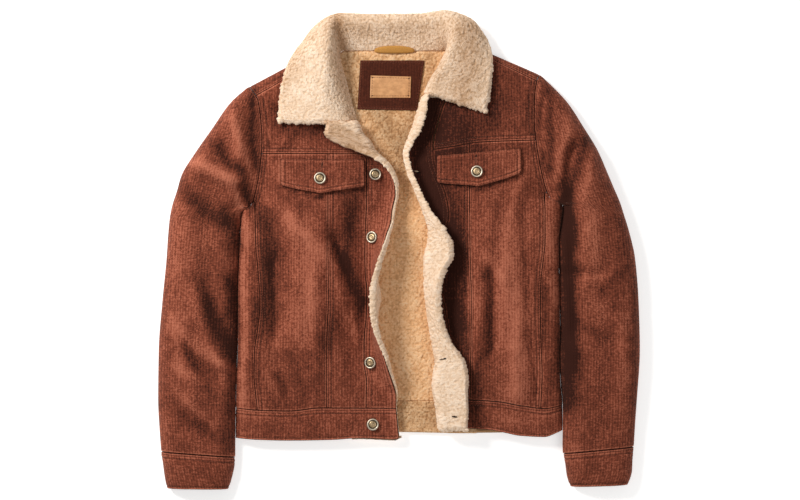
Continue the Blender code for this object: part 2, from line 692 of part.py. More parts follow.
def make_front(front, cloth, pile):
    """Make the pieces of one front."""
    side = front.side
    name = SIDE_NAME[side]
    rows = front_rows(side)
    band = even(HEM[side], BAND_SEAM[side], BAND_ROWS)
    yoke = even(YOKE_SEAM[side], SHOULDER_SEAM[side], YOKE_ROWS)
    shoulder = shoulder_rows(side)
    lapel = even(YOKE_SEAM[side], constant(LAPEL_TOP[side]), LAPEL_ROWS)
    body = trimmed(rows)
    outer, side_seam, centre = front.outer_edge, front.side_seam, front.centre_seam
    reach, seam, free = front.facing_edge, front.placket_seam, front.free_edge
    guides = (seam, lambda y: 0 * y, lambda y: front.opening.at(y, "arc"), free)
    steps = (even_steps(2), even_steps(4), even_steps(2))
    near = even_steps(2)

    def neck(y):
        return front.cloth(NECK_X[side], y)

    def proud(y):
        above_hem = ease((y - BAND_SEAM_Y) / 50)
        return free(y) + FACING_PROUD_HEM + (FACING_PROUD - FACING_PROUD_HEM) * above_hem

    def yoke_end(y):
        below_lapel = LAPEL_TUCK if side == LEFT else 0
        return seam(y) - below_lapel * ease((y - YOKE_SEAM[side].at(0.0) - 3) / 22)

    side_rows = trimmed(front_rows(side, SIDE_PANEL_ROWS), last=0)
    front_piece(f"side_panel_{name}", front,
                front.grid((outer, side_seam), (round_steps(4),), side_rows), cloth)
    front_piece(f"middle_panel_{name}", front,
                front.grid((side_seam, centre), (even_steps(6),), body), cloth)
    front_piece(f"centre_panel_{name}", front,
                front.grid((centre, reach, seam), (even_steps(3), near), body), cloth)
    front_piece(f"placket_{name}", front,
                front.grid(guides, steps, trimmed(rows + lapel[1:])), cloth)
    front_piece(f"band_{name}", front,
                front.grid((outer, side_seam, centre, reach, *guides),
                           (round_steps(4), even_steps(6), even_steps(3), near, *steps),
                           trimmed(band, first=0)), cloth,
                lift=BAND_RAISED, depth=BAND_RAISED + CORDUROY)
    front_piece(f"yoke_{name}", front,
                front.grid((outer, yoke_end), (even_steps(8),), trimmed(yoke),
                           (SEAM_GAP / 2, 1.0)), cloth)
    front_piece(f"shoulder_{name}", front,
                front.grid((outer, neck), (even_steps(7),), trimmed(shoulder, last=0)), cloth)
    c, y = front.grid((reach, *guides, proud), (near, *steps, even_steps(1)),
                      band + rows[1:] + lapel[1:])
    deeper = 0.8 * ease((y - YOKE_SEAM[side].at(0.0) + 12) / 10)
    top = -CORDUROY - SEAM_GAP - deeper
    grids = [front.lifted(c, y, (top - depth)[..., None]) for depth in (0, SHERPA)]
    wall(f"facing_{name}", *grids, pile)


def make_flap(front, cloth):
    """Make a pocket's pointed flap, which lies on the panels."""
    side = front.side
    ends = FLAP_TOP[side].rows[[0, -1], 0]
    across = [ends[0], POCKET_BUTTON[side][0], ends[1]][::-side]
    guides = [lambda y, x=x: front.cloth(x, y) for x in across]
    rows = even(FLAP_POINT[side], FLAP_TOP[side], FLAP_ROWS)
    front_piece(f"flap_{SIDE_NAME[side]}", front,
                front.grid(guides, (even_steps(4), even_steps(4)), rows, (0, 0)), cloth,
                lift=FLAP_LIFT + FLAP_WALL, depth=FLAP_WALL)


def edge_levels(front):
    """Return y at the outer edge of a front's rows, from the band to the shoulder's fold."""
    side = front.side
    rows = (front_rows(side)
            + even(YOKE_SEAM[side], SHOULDER_SEAM[side], YOKE_ROWS)[1:]
            + shoulder_rows(side)[1:])
    guides = (front.outer_edge, front.centre_seam)
    return front.grid(guides, (even_steps(1),), rows, (0, 0))[1][:, 0]


def back_levels(front):
    """Return y at the back's edge: a front's rows, but fewer below the armpit."""
    levels = edge_levels(front)
    below = np.searchsorted(levels, ARMPIT_Y[front.side] - 15)
    above = np.delete(levels[below + (below + 1) % 2:], -2)
    return np.append(levels[:below:2], above)


def across_flat(left, right, count):
    """Return columns between two lines that roll up at both edges."""
    near = UNDER_ROLL * np.array(round_steps(3))
    ends = [left + d for d in near], [right - d for d in near[::-1]]
    middle = [left + UNDER_ROLL + (right - left - 2 * UNDER_ROLL) * t
              for t in even_steps(count)[1:-1]]
    return np.stack([*ends[0], *middle, *ends[1]], -1)


def make_back(fronts, cloth, pile):
    """Make the back, its lining and the band across it."""
    levels = [back_levels(fronts[side]) for side in (LEFT, RIGHT)]
    edges = [BODY_EDGE[LEFT].at(levels[0]), BODY_EDGE[RIGHT].at(levels[1])]
    x = across_flat(edges[0] + SEAM_GAP / 2, edges[1] - SEAM_GAP / 2, BACK_COLUMNS)
    u = (x - x[:, :1]) / (x[:, -1:] - x[:, :1])
    line = levels[0][:, None] * (1 - u) + levels[1][:, None] * u
    top = np.minimum(np.minimum(fold_line(LEFT, x), fold_line(RIGHT, x)), NECK_Y)
    bottom = BAND_SEAM_BACK.at(x)
    upper = ease((line - BACK_LEVEL_Y) / (line[-1] - BACK_LEVEL_Y))
    lower = ease((BACK_LEVEL_Y - line) / (BACK_LEVEL_Y - line[0]))
    y = line + SEAM_GAP / 2 * lower
    for border, share in ((top, upper), (bottom, lower)):
        y += share * (border - border[:, :1] * (1 - u) - border[:, -1:] * u)
    wall("back_panel", *walls(back_face, x, y, -1, (0, CORDUROY)), cloth)

    left = BODY_EDGE[LEFT].at(-280.0) - BAND_RAISED
    right = BODY_EDGE[RIGHT].at(-280.0) + BAND_RAISED
    x = across_flat(*(np.full(BAND_ROWS + 1, edge) for edge in (left, right)), BACK_COLUMNS)
    share = np.array(even_steps(BAND_ROWS))[:, None]
    y = HEM_BACK.at(x) * (1 - share) + (BAND_SEAM_BACK.at(x) - SEAM_GAP / 2) * share

    def band_face(x, y):
        from_side = np.minimum(x - left, right - x)
        return np.stack([x, y, LOWER_SEAM_Z * (1 - dome(from_side / UNDER_ROLL))], -1)

    wall("back_band", *walls(band_face, x, y, -1, (0, BAND_WALL)), cloth)

    x = np.linspace(LINING_HEM_X[0], LINING_HEM_X[1], LINING_COLUMNS + 1) * np.ones((3, 1))
    share = np.array(even_steps(2))[:, None]
    y = (HEM_BACK.at(x) - LINING_HEM_PROUD) * (1 - share) + LINING_SEAM_Y * share
    hem = np.stack([x, y, np.full_like(x, BAND_WALL + SEAM_GAP)], -1)
    wall("lining_hem", hem, hem + (0, 0, LINING_HEM_WALL), pile)

    share = np.array(even_steps(LINING_ROWS))[:, None]
    y = np.zeros((LINING_ROWS + 1, LINING_COLUMNS + 1))
    u = np.array(even_steps(LINING_COLUMNS))
    for _ in range(8):
        edges = []
        for side in (LEFT, RIGHT):
            inset = LINING_INSET - 7 * ease((y - ARMPIT_Y[side]) / 60)
            edges.append(BODY_EDGE[side].at(y) - side * inset)
        x = edges[0] * (1 - u) + edges[1] * u
        top = np.minimum(fold_line(LEFT, x), fold_line(RIGHT, x)) - LINING_BELOW
        y = (LINING_SEAM_Y + SEAM_GAP) * (1 - share) + np.minimum(top, NECK_Y) * share
    lining = np.stack([x, y, np.full_like(x, LINING_Z)], -1)
    wall("back_lining", lining, lining + (0, 0, SHERPA), pile)


def make_sleeve(front, cloth):
    """Make a sleeve's upper and under pieces and its cuff."""
    side, name = front.side, SIDE_NAME[front.side]
    sleeve = Sleeve(front)
    levels = edge_levels(front)
    levels = levels[levels > ARMPIT_Y[side] - 5]
    head = levels[-1] - SLEEVE_HEAD_GAP
    levels = np.append(levels[levels < head - 2], head)
    keys = np.append(SLEEVE_LEVELS[side], levels)[:, None]
    (x0, y0), (x1, y1) = sleeve.ends(keys)
    width = np.hypot(x1 - x0, y1 - y0)
    roll = np.minimum(SIDE_ROLL, width * 0.45)
    near = np.array(round_steps(4)) * roll / width
    middle = [near[:, -1:] * (1 - t) + (1 - near[:, -1:]) * t for t in even_steps(3)[1:-1]]
    u = np.hstack([near, *middle, 1 - near[:, ::-1]])
    top = walls(sleeve.top, u, keys + 0 * u, 1, (0, SLEEVE_WALL), NUDGE / 100)
    wall(f"sleeve_upper_{name}", *top, cloth)

    roll = np.minimum(UNDER_ROLL, width * 0.3)
    near = np.array(round_steps(2)) * roll / width
    u = np.hstack([near, 1 - near[:, ::-1]])
    under = walls(sleeve.under, u, keys + 0 * u, -1, (0, SLEEVE_WALL), NUDGE / 100)
    wall(f"sleeve_under_{name}", *under, cloth)

    table = CUFF[side]
    along = np.array(even_steps(CUFF_ROWS))[:, None]
    inner = np.stack([table.at(along, "inner_x"), table.at(along, "inner_y")], -1)
    outer = np.stack([table.at(along, "outer_x"), table.at(along, "outer_y")], -1)
    width = np.linalg.norm(outer - inner, axis=-1)
    height = table.at(along, "height")
    arc = np.array(round_steps(4)) / 2
    u = np.hstack([arc, 1 - arc[::-1][1:]])
    plan = inner + (outer - inner) * u[:, None]
    from_end = np.minimum(u, 1 - u) * width
    z = SIDE_SEAM_Z + (height - SIDE_SEAM_Z) * dome(from_end / CUFF_ROLL)
    top = np.concatenate([plan, z[..., None]], -1)
    arc = np.array(round_steps(3)) * UNDER_ROLL / width.mean()
    u = np.hstack([arc[1:], [0.36, 0.64], 1 - arc[:0:-1]])[::-1]
    plan = inner + (outer - inner) * u[:, None]
    z = SIDE_SEAM_Z * (1 - dome(np.minimum(u, 1 - u) * width / UNDER_ROLL))
    under = np.concatenate([plan, z[..., None]], -1)
    ring = np.concatenate([top, under], 1)
    around = np.roll(ring, -1, 1) - np.roll(ring, 1, 1)
    normal = np.cross(around, np.gradient(ring, axis=0))
    normal /= np.linalg.norm(normal, axis=-1)[..., None]
    normal *= math.copysign(1, normal[0, 4, 2])
    wall(f"cuff_{name}", ring, ring - normal * CUFF_WALL, cloth, ring=True)


def make_collar(cloth, pile):
    """Make the collar's pile face and its corduroy under side."""
    along = np.linspace(0, len(COLLAR) - 1, COLLAR_ROWS + 1)[:, None]
    profile = np.linspace(0, len(Section._fields) - 1, COLLAR_COLUMNS + 1)[None, :]
    a, b = profile + 0 * along, along + 0 * profile
    wall("collar", *walls(collar_face, a, b, 1, (0, COLLAR_PILE)), pile)
    depths = (COLLAR_PILE + SEAM_GAP, COLLAR_PILE + SEAM_GAP + UNDER_COLLAR)
    wall("collar_under", *walls(collar_face, a, b, 1, depths), cloth)


def make_neck_trim(loop, cloth, leather):
    """Make the hanging loop, and the patch with its label, inside the back of the neck."""
    t = np.array(even_steps(8))[:, None]
    bow = 4 * t * (1 - t)
    across = np.array(LOOP_ACROSS) + LOOP_BOW * bow
    along = LOOP_ALONG[0] + (LOOP_ALONG[1] - LOOP_ALONG[0]) * t + 0 * across
    lift = (LOOP_LIFT + LOOP_LIFT_MIDDLE * bow)[..., None]
    wall("hanging_loop", *walls(collar_face, across, along, 1, (-lift - LOOP_WALL, -lift)), loop)
    z = LINING_TOP
    for name, corners, thick, material in (("neck_patch", PATCH, PATCH_WALL, cloth),
                                           ("neck_label", LABEL, LABEL_WALL, leather)):
        z += SEAM_GAP
        flat = np.array([[(*corners[0], z), (*corners[1], z)],
                         [(*corners[3], z), (*corners[2], z)]])
        wall(name, flat, flat + (0, 0, thick), material)
        z += thick


def make_button(name, base, direction, metal):
    """Make a shank button that stands on a point of the cloth."""
    bm = bmesh.new()
    rings = []
    for radius, z in BUTTON_PROFILE:
        if radius == 0:
            rings.append([bm.verts.new((0, 0, z))])
            continue
        rings.append([bm.verts.new((radius * math.cos(angle), radius * math.sin(angle), z))
                      for angle in np.linspace(0, 2 * math.pi, BUTTON_SIDES, endpoint=False)])
    for lower, upper in zip(rings, rings[1:]):
        for i in range(BUTTON_SIDES):
            k = (i + 1) % BUTTON_SIDES
            ends = [lower[0]] if len(lower) == 1 else [lower[i], lower[k]]
            ends += [upper[0]] if len(upper) == 1 else [upper[k], upper[i]]
            bm.faces.new(ends)
    turn = Vector((0, 0, 1)).rotation_difference(Vector(direction)).to_matrix()
    bmesh.ops.transform(bm, matrix=turn.to_4x4(), verts=bm.verts)
    bmesh.ops.translate(bm, vec=Vector(base), verts=bm.verts)
    add_object(name, bm, metal)


def make_buttons(fronts, metal):
    """Make the pocket buttons and those down the left placket."""
    places = []
    for side in (LEFT, RIGHT):
        x, y = POCKET_BUTTON[side]
        places.append((f"button_pocket_{SIDE_NAME[side]}", fronts[side],
                       fronts[side].cloth(x, y), y, FLAP_LIFT + FLAP_WALL))
    front = fronts[LEFT]
    for number, (y, inset) in enumerate(PLACKET_BUTTONS, 1):
        lift = BAND_RAISED if y < BAND_SEAM[LEFT].at(0.0) else 0
        places.append((f"button_{number}", front, front.free_edge(y) - inset, y, lift))
    for name, front, c, y, lift in places:
        c, y = np.array([[float(c)]]), np.array([[float(y)]])
        base = front.lifted(c, y, lift + BUTTON_CLEARANCE)[0, 0]
        above = front.lifted(c, y, lift + BUTTON_CLEARANCE + 1)[0, 0]
        make_button(name, base, above - base, metal)


def remove_everything():
    """Clear the scene."""
    for obj in list(bpy.data.objects):
        bpy.data.objects.remove(obj)


def main():
    """Build the jacket."""
    remove_everything()
    cloth = finish("corduroy", (0.19, 0.055, 0.03))
    pile = finish("sherpa", (0.80, 0.62, 0.44))
    loop = finish("loop_tape", (0.55, 0.32, 0.09))
    leather = finish("label_leather", (0.62, 0.33, 0.14), roughness=0.6)
    metal = finish("antique_metal", (0.45, 0.38, 0.28), metallic=1.0, roughness=0.4)
    fronts = {side: Front(side) for side in (LEFT, RIGHT)}
    for front in fronts.values():
        make_front(front, cloth, pile)
        make_flap(front, cloth)
        make_sleeve(front, cloth)
    make_back(fronts, cloth, pile)
    make_collar(cloth, pile)
    make_neck_trim(loop, cloth, leather)
    make_buttons(fronts, metal)


main()
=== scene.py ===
"""Looks of a sherpa lined corduroy jacket, laid flat on its back with the front open.

X runs to the viewer's right, Y from the hem to the collar and Z up from the surface that it
lies on. "Left" and "right" are the viewer's. Lengths are in millimetres until a mesh is made.
"""
import logging
import math
from dataclasses import dataclass, field
from enum import Enum
from typing import Callable, Iterable, Sequence

import bpy
import numpy as np
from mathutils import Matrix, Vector


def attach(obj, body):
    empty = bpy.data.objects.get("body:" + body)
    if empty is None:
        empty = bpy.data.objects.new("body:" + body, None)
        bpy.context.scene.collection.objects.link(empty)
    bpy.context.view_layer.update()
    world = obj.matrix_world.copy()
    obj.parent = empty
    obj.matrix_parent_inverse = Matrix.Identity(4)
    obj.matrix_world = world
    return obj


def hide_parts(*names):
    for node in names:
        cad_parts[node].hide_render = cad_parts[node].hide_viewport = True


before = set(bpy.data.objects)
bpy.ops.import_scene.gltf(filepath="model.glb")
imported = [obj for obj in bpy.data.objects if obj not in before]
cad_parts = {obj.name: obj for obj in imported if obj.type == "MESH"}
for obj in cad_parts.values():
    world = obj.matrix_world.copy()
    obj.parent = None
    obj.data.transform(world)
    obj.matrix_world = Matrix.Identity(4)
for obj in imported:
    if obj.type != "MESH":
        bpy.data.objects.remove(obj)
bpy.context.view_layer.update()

Grid = np.ndarray
Guide = Callable[[Grid], Grid]

LOG = logging.getLogger("jacket")
MM = 0.001
BODY = "root"
SEAM_GAP = 0.3
TWIN = (2.8, 8.4)
FLAP_TWIN = (1.8, 7.2)


class Side(Enum):
    """The viewer's left or right, with the sign of X there."""

    LEFT = -1
    RIGHT = 1

    @property
    def label(self) -> str:
        """The word that ends the names of this side's pieces."""
        return self.name.lower()


class Border(Enum):
    """The four borders of a grid of points."""

    FIRST_COLUMN = 0
    LAST_COLUMN = 1
    FIRST_ROW = 2
    LAST_ROW = 3


class Table:
    """A short table whose columns are read at any value of the first, with no overshoot."""

    def __init__(self, columns: str, rows: Sequence[Sequence[float]]) -> None:
        """Keep the rows and work out the slopes between them.

        Args:
            columns: The columns' names, the first of which is the key.
            rows: The rows, in rising order of the key.
        """
        self.columns = columns.split()
        self.rows = np.array(rows, float)
        self.key = self.rows[:, 0]
        slope = np.diff(self.rows, axis=0) / np.diff(self.key)[:, None]
        before, after = slope[:-1], slope[1:]
        total = np.where(before + after == 0, 1, before + after)
        inner = np.where(before * after > 0, 2 * before * after / total, 0)
        self.slope = np.vstack([slope[:1], inner, slope[-1:]])

    def at(self, where: Grid | float, column: str | None = None) -> Grid:
        """Read one column.

        Args:
            where: Values of the key.
            column: The column's name, or the second column's if none is given.

        Returns:
            The column's values there.
        """
        j = self.columns.index(column) if column else 1
        where = np.clip(where, self.key[0], self.key[-1])
        i = np.clip(np.searchsorted(self.key, where, side="right") - 1, 0, len(self.key) - 2)
        step = self.key[i + 1] - self.key[i]
        t = (where - self.key[i]) / step
        rise = self.rows[i + 1, j] - self.rows[i, j]
        leave = self.slope[i, j] * step * t * (1 - t) ** 2
        arrive = self.slope[i + 1, j] * step * t * t * (1 - t)
        return self.rows[i, j] + rise * t * t * (3 - 2 * t) + leave - arrive


@dataclass(frozen=True)
class Fold:
    """A soft ridge, or a valley where its height is negative, between two places."""

    x0: float
    y0: float
    x1: float
    y1: float
    width: float
    height: float
    crest: float = 2.0

    def at(self, x: Grid, y: Grid) -> Grid:
        """Return the height that the fold adds at places."""
        run = np.array([self.x1 - self.x0, self.y1 - self.y0], float)
        length = np.hypot(*run)
        run /= length
        along = (x - self.x0) * run[0] + (y - self.y0) * run[1]
        beyond = np.maximum(np.maximum(-along, along - length), 0) / 1.8
        across = (y - self.y0) * run[0] - (x - self.x0) * run[1]
        return self.height * np.exp(-(np.hypot(across, beyond) / self.width) ** self.crest)


# ---------------------------------------------------------------- small functions

def ease(t: Grid | float) -> Grid:
    """Rise from 0 to 1 with no slope at either end."""
    t = np.clip(t, 0, 1)
    return t * t * (3 - 2 * t)


def dome(t: Grid | float) -> Grid:
    """Rise from 0 to 1 as a quarter circle does, upright at 0 and level at 1."""
    return np.sqrt(1 - (1 - np.clip(t, 0, 1)) ** 2)


def bell(distance: Grid, width: float) -> Grid:
    """Return 1 at no distance, falling off smoothly over a width."""
    return np.exp(-(distance / width) ** 2)


def spread(length: float, step: float, start: Sequence[float] = (), end: Sequence[float] = ()) -> Grid:
    """Place points along a stretch, closer at its ends.

    Args:
        length: The stretch's rough length.
        step: The distance between points away from the ends.
        start: Distances of extra points from the start.
        end: Distances of extra points from the end.

    Returns:
        The points' shares of the stretch, from 0 to 1.
    """
    first = max(start, default=0.0)
    last = length - max(end, default=0.0)
    count = max(1, round((last - first) / step))
    places = [*start, *np.linspace(first, last, count + 1), *(length - d for d in end), 0, length]
    return np.unique(np.round(np.clip(places, 0, length) / length, 5))


class ValueNoise:
    """Smooth seeded noise from -1 to 1 over a plane."""

    SIZE = 256

    def __init__(self, seed: int) -> None:
        """Fill the lattice from a seed."""
        self.lattice = np.random.default_rng(seed).uniform(-1, 1, (self.SIZE, self.SIZE))

    def at(self, x: Grid, y: Grid, scale: float) -> Grid:
        """Read the noise.

        Args:
            x: Places across.
            y: Places along.
            scale: The size of its lumps.

        Returns:
            The values there.
        """
        x, y = np.broadcast_arrays(x / scale, y / scale)
        i, j = np.floor(x).astype(int), np.floor(y).astype(int)
        u, v = ease(x - i), ease(y - j)
        i, j = i % self.SIZE, j % self.SIZE
        k, m = (i + 1) % self.SIZE, (j + 1) % self.SIZE
        low = self.lattice[i, j] * (1 - u) + self.lattice[k, j] * u
        high = self.lattice[i, m] * (1 - u) + self.lattice[k, m] * u
        return low * (1 - v) + high * v


class Bobbles:
    """The lumps of a curled pile, as round bumps scattered over a plane."""

    SIZE = 512

    def __init__(self, seed: int, pitch: float) -> None:
        """Scatter one lump in each cell.

        Args:
            seed: The seed of their places and sizes.
            pitch: The size of a cell.
        """
        source = np.random.default_rng(seed)
        self.pitch = pitch
        self.place = source.uniform(0.12, 0.88, (self.SIZE, self.SIZE, 2))
        self.size = source.uniform(0.55, 1.0, (self.SIZE, self.SIZE))

    def at(self, x: Grid, y: Grid) -> Grid:
        """Return the pile's height, from 0 between lumps to 1 at the top of the largest."""
        x, y = np.broadcast_arrays(x / self.pitch, y / self.pitch)
        i, j = np.floor(x).astype(int), np.floor(y).astype(int)
        height = np.zeros(x.shape)
        for di in (-1, 0, 1):
            for dj in (-1, 0, 1):
                a, b = (i + di) % self.SIZE, (j + dj) % self.SIZE
                far = np.hypot(x - i - di - self.place[a, b, 0], y - j - dj - self.place[a, b, 1])
                lump = self.size[a, b] * np.sqrt(np.clip(1 - (far / 0.72) ** 2, 0, 1))
                height = np.maximum(height, lump)
        return height


# ---------------------------------------------------------------- shader maths

class Wire:
    """A number that a socket carries; arithmetic on it adds Math nodes."""

    def __init__(self, graph: "Graph", socket: bpy.types.NodeSocket) -> None:
        """Keep the graph and the socket."""
        self.graph = graph
        self.socket = socket

    def _math(self, operation: str, *values: "Wire | float") -> "Wire":
        """Add a Math node and return its result."""
        inputs = {index: value for index, value in enumerate(values)}
        return self.graph.node("ShaderNodeMath", {"operation": operation}, inputs)

    def __add__(self, other: "Wire | float") -> "Wire":
        """Add."""
        return self._math("ADD", self, other)

    def __radd__(self, other: float) -> "Wire":
        """Add to a number."""
        return self._math("ADD", other, self)

    def __sub__(self, other: "Wire | float") -> "Wire":
        """Subtract."""
        return self._math("SUBTRACT", self, other)

    def __rsub__(self, other: float) -> "Wire":
        """Subtract from a number."""
        return self._math("SUBTRACT", other, self)

    def __mul__(self, other: "Wire | float") -> "Wire":
        """Multiply."""
        return self._math("MULTIPLY", self, other)

    def __rmul__(self, other: float) -> "Wire":
        """Multiply a number."""
        return self._math("MULTIPLY", other, self)

    def __truediv__(self, other: "Wire | float") -> "Wire":
        """Divide."""
        return self._math("DIVIDE", self, other)

    def sine(self) -> "Wire":
        """Return the sine."""
        return self._math("SINE", self)

    def size(self) -> "Wire":
        """Return the number without its sign."""
        return self._math("ABSOLUTE", self)

    def power(self, exponent: float) -> "Wire":
        """Return the number raised to a power."""
        return self._math("POWER", self, exponent)

    def clamped(self, low: float, high: float) -> "Wire":
        """Spread the stretch from low to high over 0 to 1, and stop there."""
        return self.graph.node("ShaderNodeMapRange", {"clamp": True},
                               {"Value": self, "From Min": low, "From Max": high})


class Graph:
    """A material's nodes, with its shader."""

    def __init__(self, name: str) -> None:
        """Make the material, with a Principled shader and no other node."""
        self.material = bpy.data.materials.new(name)
        self.material.use_nodes = True
        self.nodes = self.material.node_tree.nodes
        self.shader = self.nodes["Principled BSDF"]

    def node(self, kind: str, settings: dict[str, object] | None = None,
             inputs: dict[str | int, object] | None = None, output: str | int = 0) -> Wire:
        """Add a node.

        Args:
            kind: Its type.
            settings: Its own settings, which are made first.
            inputs: Values or wires for its sockets, by name or number.
            output: The output to return.

        Returns:
            The output.
        """
        node = self.nodes.new(kind)
        for key, value in (settings or {}).items():
            setattr(node, key, value)
        for key, value in (inputs or {}).items():
            self.feed(node.inputs[key], value)
        return Wire(self, node.outputs[output])

    def feed(self, socket: bpy.types.NodeSocket, value: object) -> None:
        """Set a socket to a value, or link a wire to it."""
        if isinstance(value, Wire):
            self.material.node_tree.links.new(value.socket, socket)
        else:
            socket.default_value = value

    def shade(self, **inputs: object) -> None:
        """Feed the shader's sockets, named with underscores for spaces."""
        for key, value in inputs.items():
            self.feed(self.shader.inputs[key.replace("_", " ")], value)

    def colour(self, factor: Wire | float, low: "Wire | Colour", high: "Wire | Colour") -> Wire:
        """Mix two colours.

        Args:
            factor: The share of the second.
            low: The first colour.
            high: The second.

        Returns:
            The mixed colour.
        """
        ends = [value if isinstance(value, Wire) else (*value, 1.0) for value in (low, high)]
        return self.node("ShaderNodeMix", {"data_type": "RGBA"},
                         {0: factor, 6: ends[0], 7: ends[1]}, 2)

    def flat(self, scale: Sequence[float], layer: str = "Cloth") -> Wire:
        """Return the cloth's own coordinates in metres, each times a number."""
        place = self.node("ShaderNodeUVMap", {"uv_map": layer})
        return self.node("ShaderNodeVectorMath", {"operation": "MULTIPLY"},
                         {0: place, 1: (scale[0], scale[1], 1.0)})

    def painted(self, name: str) -> Wire:
        """Return a value that is painted on the mesh."""
        return self.node("ShaderNodeAttribute", {"attribute_name": name}, None, "Fac")

    def noise(self, place: Wire, detail: float = 2.0, rough: float = 0.5) -> Wire:
        """Return noise of unit scale at a place."""
        return self.node("ShaderNodeTexNoise", {"noise_dimensions": "2D"},
                         {"Vector": place, "Scale": 1.0, "Detail": detail, "Roughness": rough})

    def bump(self, height: Wire, distance: float, strength: float = 1.0) -> Wire:
        """Return the normal of a surface raised by a height times a distance in metres."""
        return self.node("ShaderNodeBump", None,
                         {"Height": height, "Distance": distance, "Strength": strength})


Colour = tuple[float, float, float]


@dataclass(frozen=True)
class Corduroy:
    """Fine-wale corduroy with a crushed nap; the wales run along the cloth. Its colour also carries painted
    shade and painted highlight, read from the mesh.
    """

    name: str = "corduroy"
    # The dark between the wales, also used as painted shade.
    valley: Colour = (0.036, 0.0095, 0.0055)
    nap: Colour = (0.24, 0.060, 0.031)
    # Rubbed nap, also used as painted highlight.
    worn: Colour = (0.47, 0.156, 0.092)
    pitch: float = 0.0046
    slot: str = "corduroy"

    def make(self) -> bpy.types.Material:
        """Return the material."""
        g = Graph(self.name)
        tone = g.painted("tone")
        waver = g.noise(g.flat((10, 7)), 1.0) * 0.9
        across = g.node("ShaderNodeSeparateXYZ", None, {0: g.flat((1 / self.pitch, 1))})
        wale = ((across + waver) * math.pi).sine().size()
        threads = g.noise(g.flat((260, 60)), 1.0, 0.5).clamped(0.3, 0.7)
        specks = g.noise(g.flat((420, 520)), 2.0, 0.7).clamped(0.3, 0.7)
        crush = g.noise(g.flat((190, 260)), 2.0, 0.6).clamped(0.34, 0.66)
        clouds = g.noise(g.flat((26, 20)), 2.0, 0.5).clamped(0.3, 0.7)
        nap = 0.19 * wale + 0.32 * specks + 0.16 * threads + 0.26 * crush + 0.12 * clouds
        # Painted light: the painted tone darkens the cloth towards the dark colour as painted shade and
        # lightens it towards the bright one as painted highlight.
        shade = nap + 0.36 * tone
        colour = g.colour(shade.clamped(0.10, 0.74), self.valley, self.nap)
        colour = g.colour(shade.clamped(0.60, 1.15), colour, self.worn)
        height = 0.4 * wale + 0.4 * specks + 0.35 * crush
        g.shade(Base_Color=colour, Roughness=0.9, Specular_IOR_Level=0.12, Sheen_Weight=0.22,
                Sheen_Roughness=0.4, Sheen_Tint=(0.95, 0.52, 0.40, 1),
                Normal=g.bump(height, 0.0008, 0.9))
        return g.material


@dataclass(frozen=True)
class Sherpa:
    """Cream pile in tight curls, with painted shade between its lumps and painted highlight on their tops,
    darkened further where painted shade is marked on the mesh.
    """

    name: str = "sherpa"
    # Painted shade between the lumps.
    crevice: Colour = (0.56, 0.37, 0.225)
    body: Colour = (0.86, 0.63, 0.445)
    # Painted highlight on the lumps' tops.
    tip: Colour = (0.93, 0.75, 0.59)
    # The colour that painted shade multiplies by.
    dimmed: Colour = (0.60, 0.445, 0.31)
    # How far the painted shade between lumps is lifted where no painted shade is marked.
    filled: float = 0.5
    slot: str = "sherpa"

    def make(self) -> bpy.types.Material:
        """Return the material."""
        g = Graph(self.name)
        depth = g.painted("pile")
        curls = g.noise(g.flat((760, 760)), 3.0, 0.6)
        cells = g.node("ShaderNodeTexVoronoi", {"voronoi_dimensions": "2D"},
                       {"Vector": g.flat((1, 1)), "Scale": 620.0, "Randomness": 1.0})
        patches = g.noise(g.flat((30, 30)), 2.0)
        tone = g.painted("tone")
        bright = tone.clamped(-0.4, 0.0)
        # Painted light: the lumps' tops are painted lighter and the hollows between them painted darker.
        shade = depth + 0.55 * curls - 0.35 * cells - 0.16 + 0.06 * bright
        crevice = g.colour(self.filled * bright, self.crevice, self.body)
        colour = g.colour(shade.clamped(0.12, 0.66), crevice, self.body)
        colour = g.colour((shade + 0.5 * patches).clamped(0.66, 1.2), colour, self.tip)
        # Painted shade: the colour is multiplied down where the mesh marks painted shade.
        dim = g.node("ShaderNodeVectorMath", {"operation": "MULTIPLY"}, {0: colour, 1: self.dimmed})
        colour = g.colour(tone.clamped(0.0, -1.0), colour, dim)
        height = 0.8 * curls - 0.6 * cells
        g.shade(Base_Color=colour, Roughness=0.95, Specular_IOR_Level=0.1, Sheen_Weight=0.15,
                Sheen_Roughness=0.6, Sheen_Tint=(1.0, 0.93, 0.82, 1),
                Normal=g.bump(height, 0.0009, 0.9))
        return g.material


@dataclass(frozen=True)
class Yarn:
    """Twisted or woven thread, ribbed across its length."""

    name: str
    dark: Colour
    light: Colour
    slot: str
    pitch: float = 0.0012

    def make(self) -> bpy.types.Material:
        """Return the material."""
        g = Graph(self.name)
        along = g.node("ShaderNodeSeparateXYZ", None, {0: g.flat((1, 1 / self.pitch))}, 1)
        across = g.node("ShaderNodeSeparateXYZ", None, {0: g.flat((1 / self.pitch, 1))}, 0)
        twill = ((along + across) * math.pi).sine().size()
        grain = g.noise(g.flat((900, 900)), 2.0)
        shade = 0.6 * twill + 0.5 * grain
        g.shade(Base_Color=g.colour(shade.clamped(0.1, 0.9), self.dark, self.light),
                Roughness=0.85, Specular_IOR_Level=0.15, Normal=g.bump(shade, 0.0003))
        return g.material


@dataclass(frozen=True)
class Leather:
    """Smooth tan leather with a fine grain, left bare."""

    name: str = "label_leather"
    dark: Colour = (0.46, 0.22, 0.085)
    light: Colour = (0.66, 0.34, 0.145)
    slot: str = "label_leather"

    def make(self) -> bpy.types.Material:
        """Return the material."""
        g = Graph(self.name)
        cloud = g.noise(g.flat((90, 140)), 4.0, 0.6)
        pores = g.node("ShaderNodeTexVoronoi", {"voronoi_dimensions": "2D"},
                       {"Vector": g.flat((1, 1)), "Scale": 1100.0})
        g.shade(Base_Color=g.colour(cloud.clamped(0.3, 0.7), self.dark, self.light),
                Roughness=0.55, Normal=g.bump(pores, 0.0002, 0.5))
        return g.material


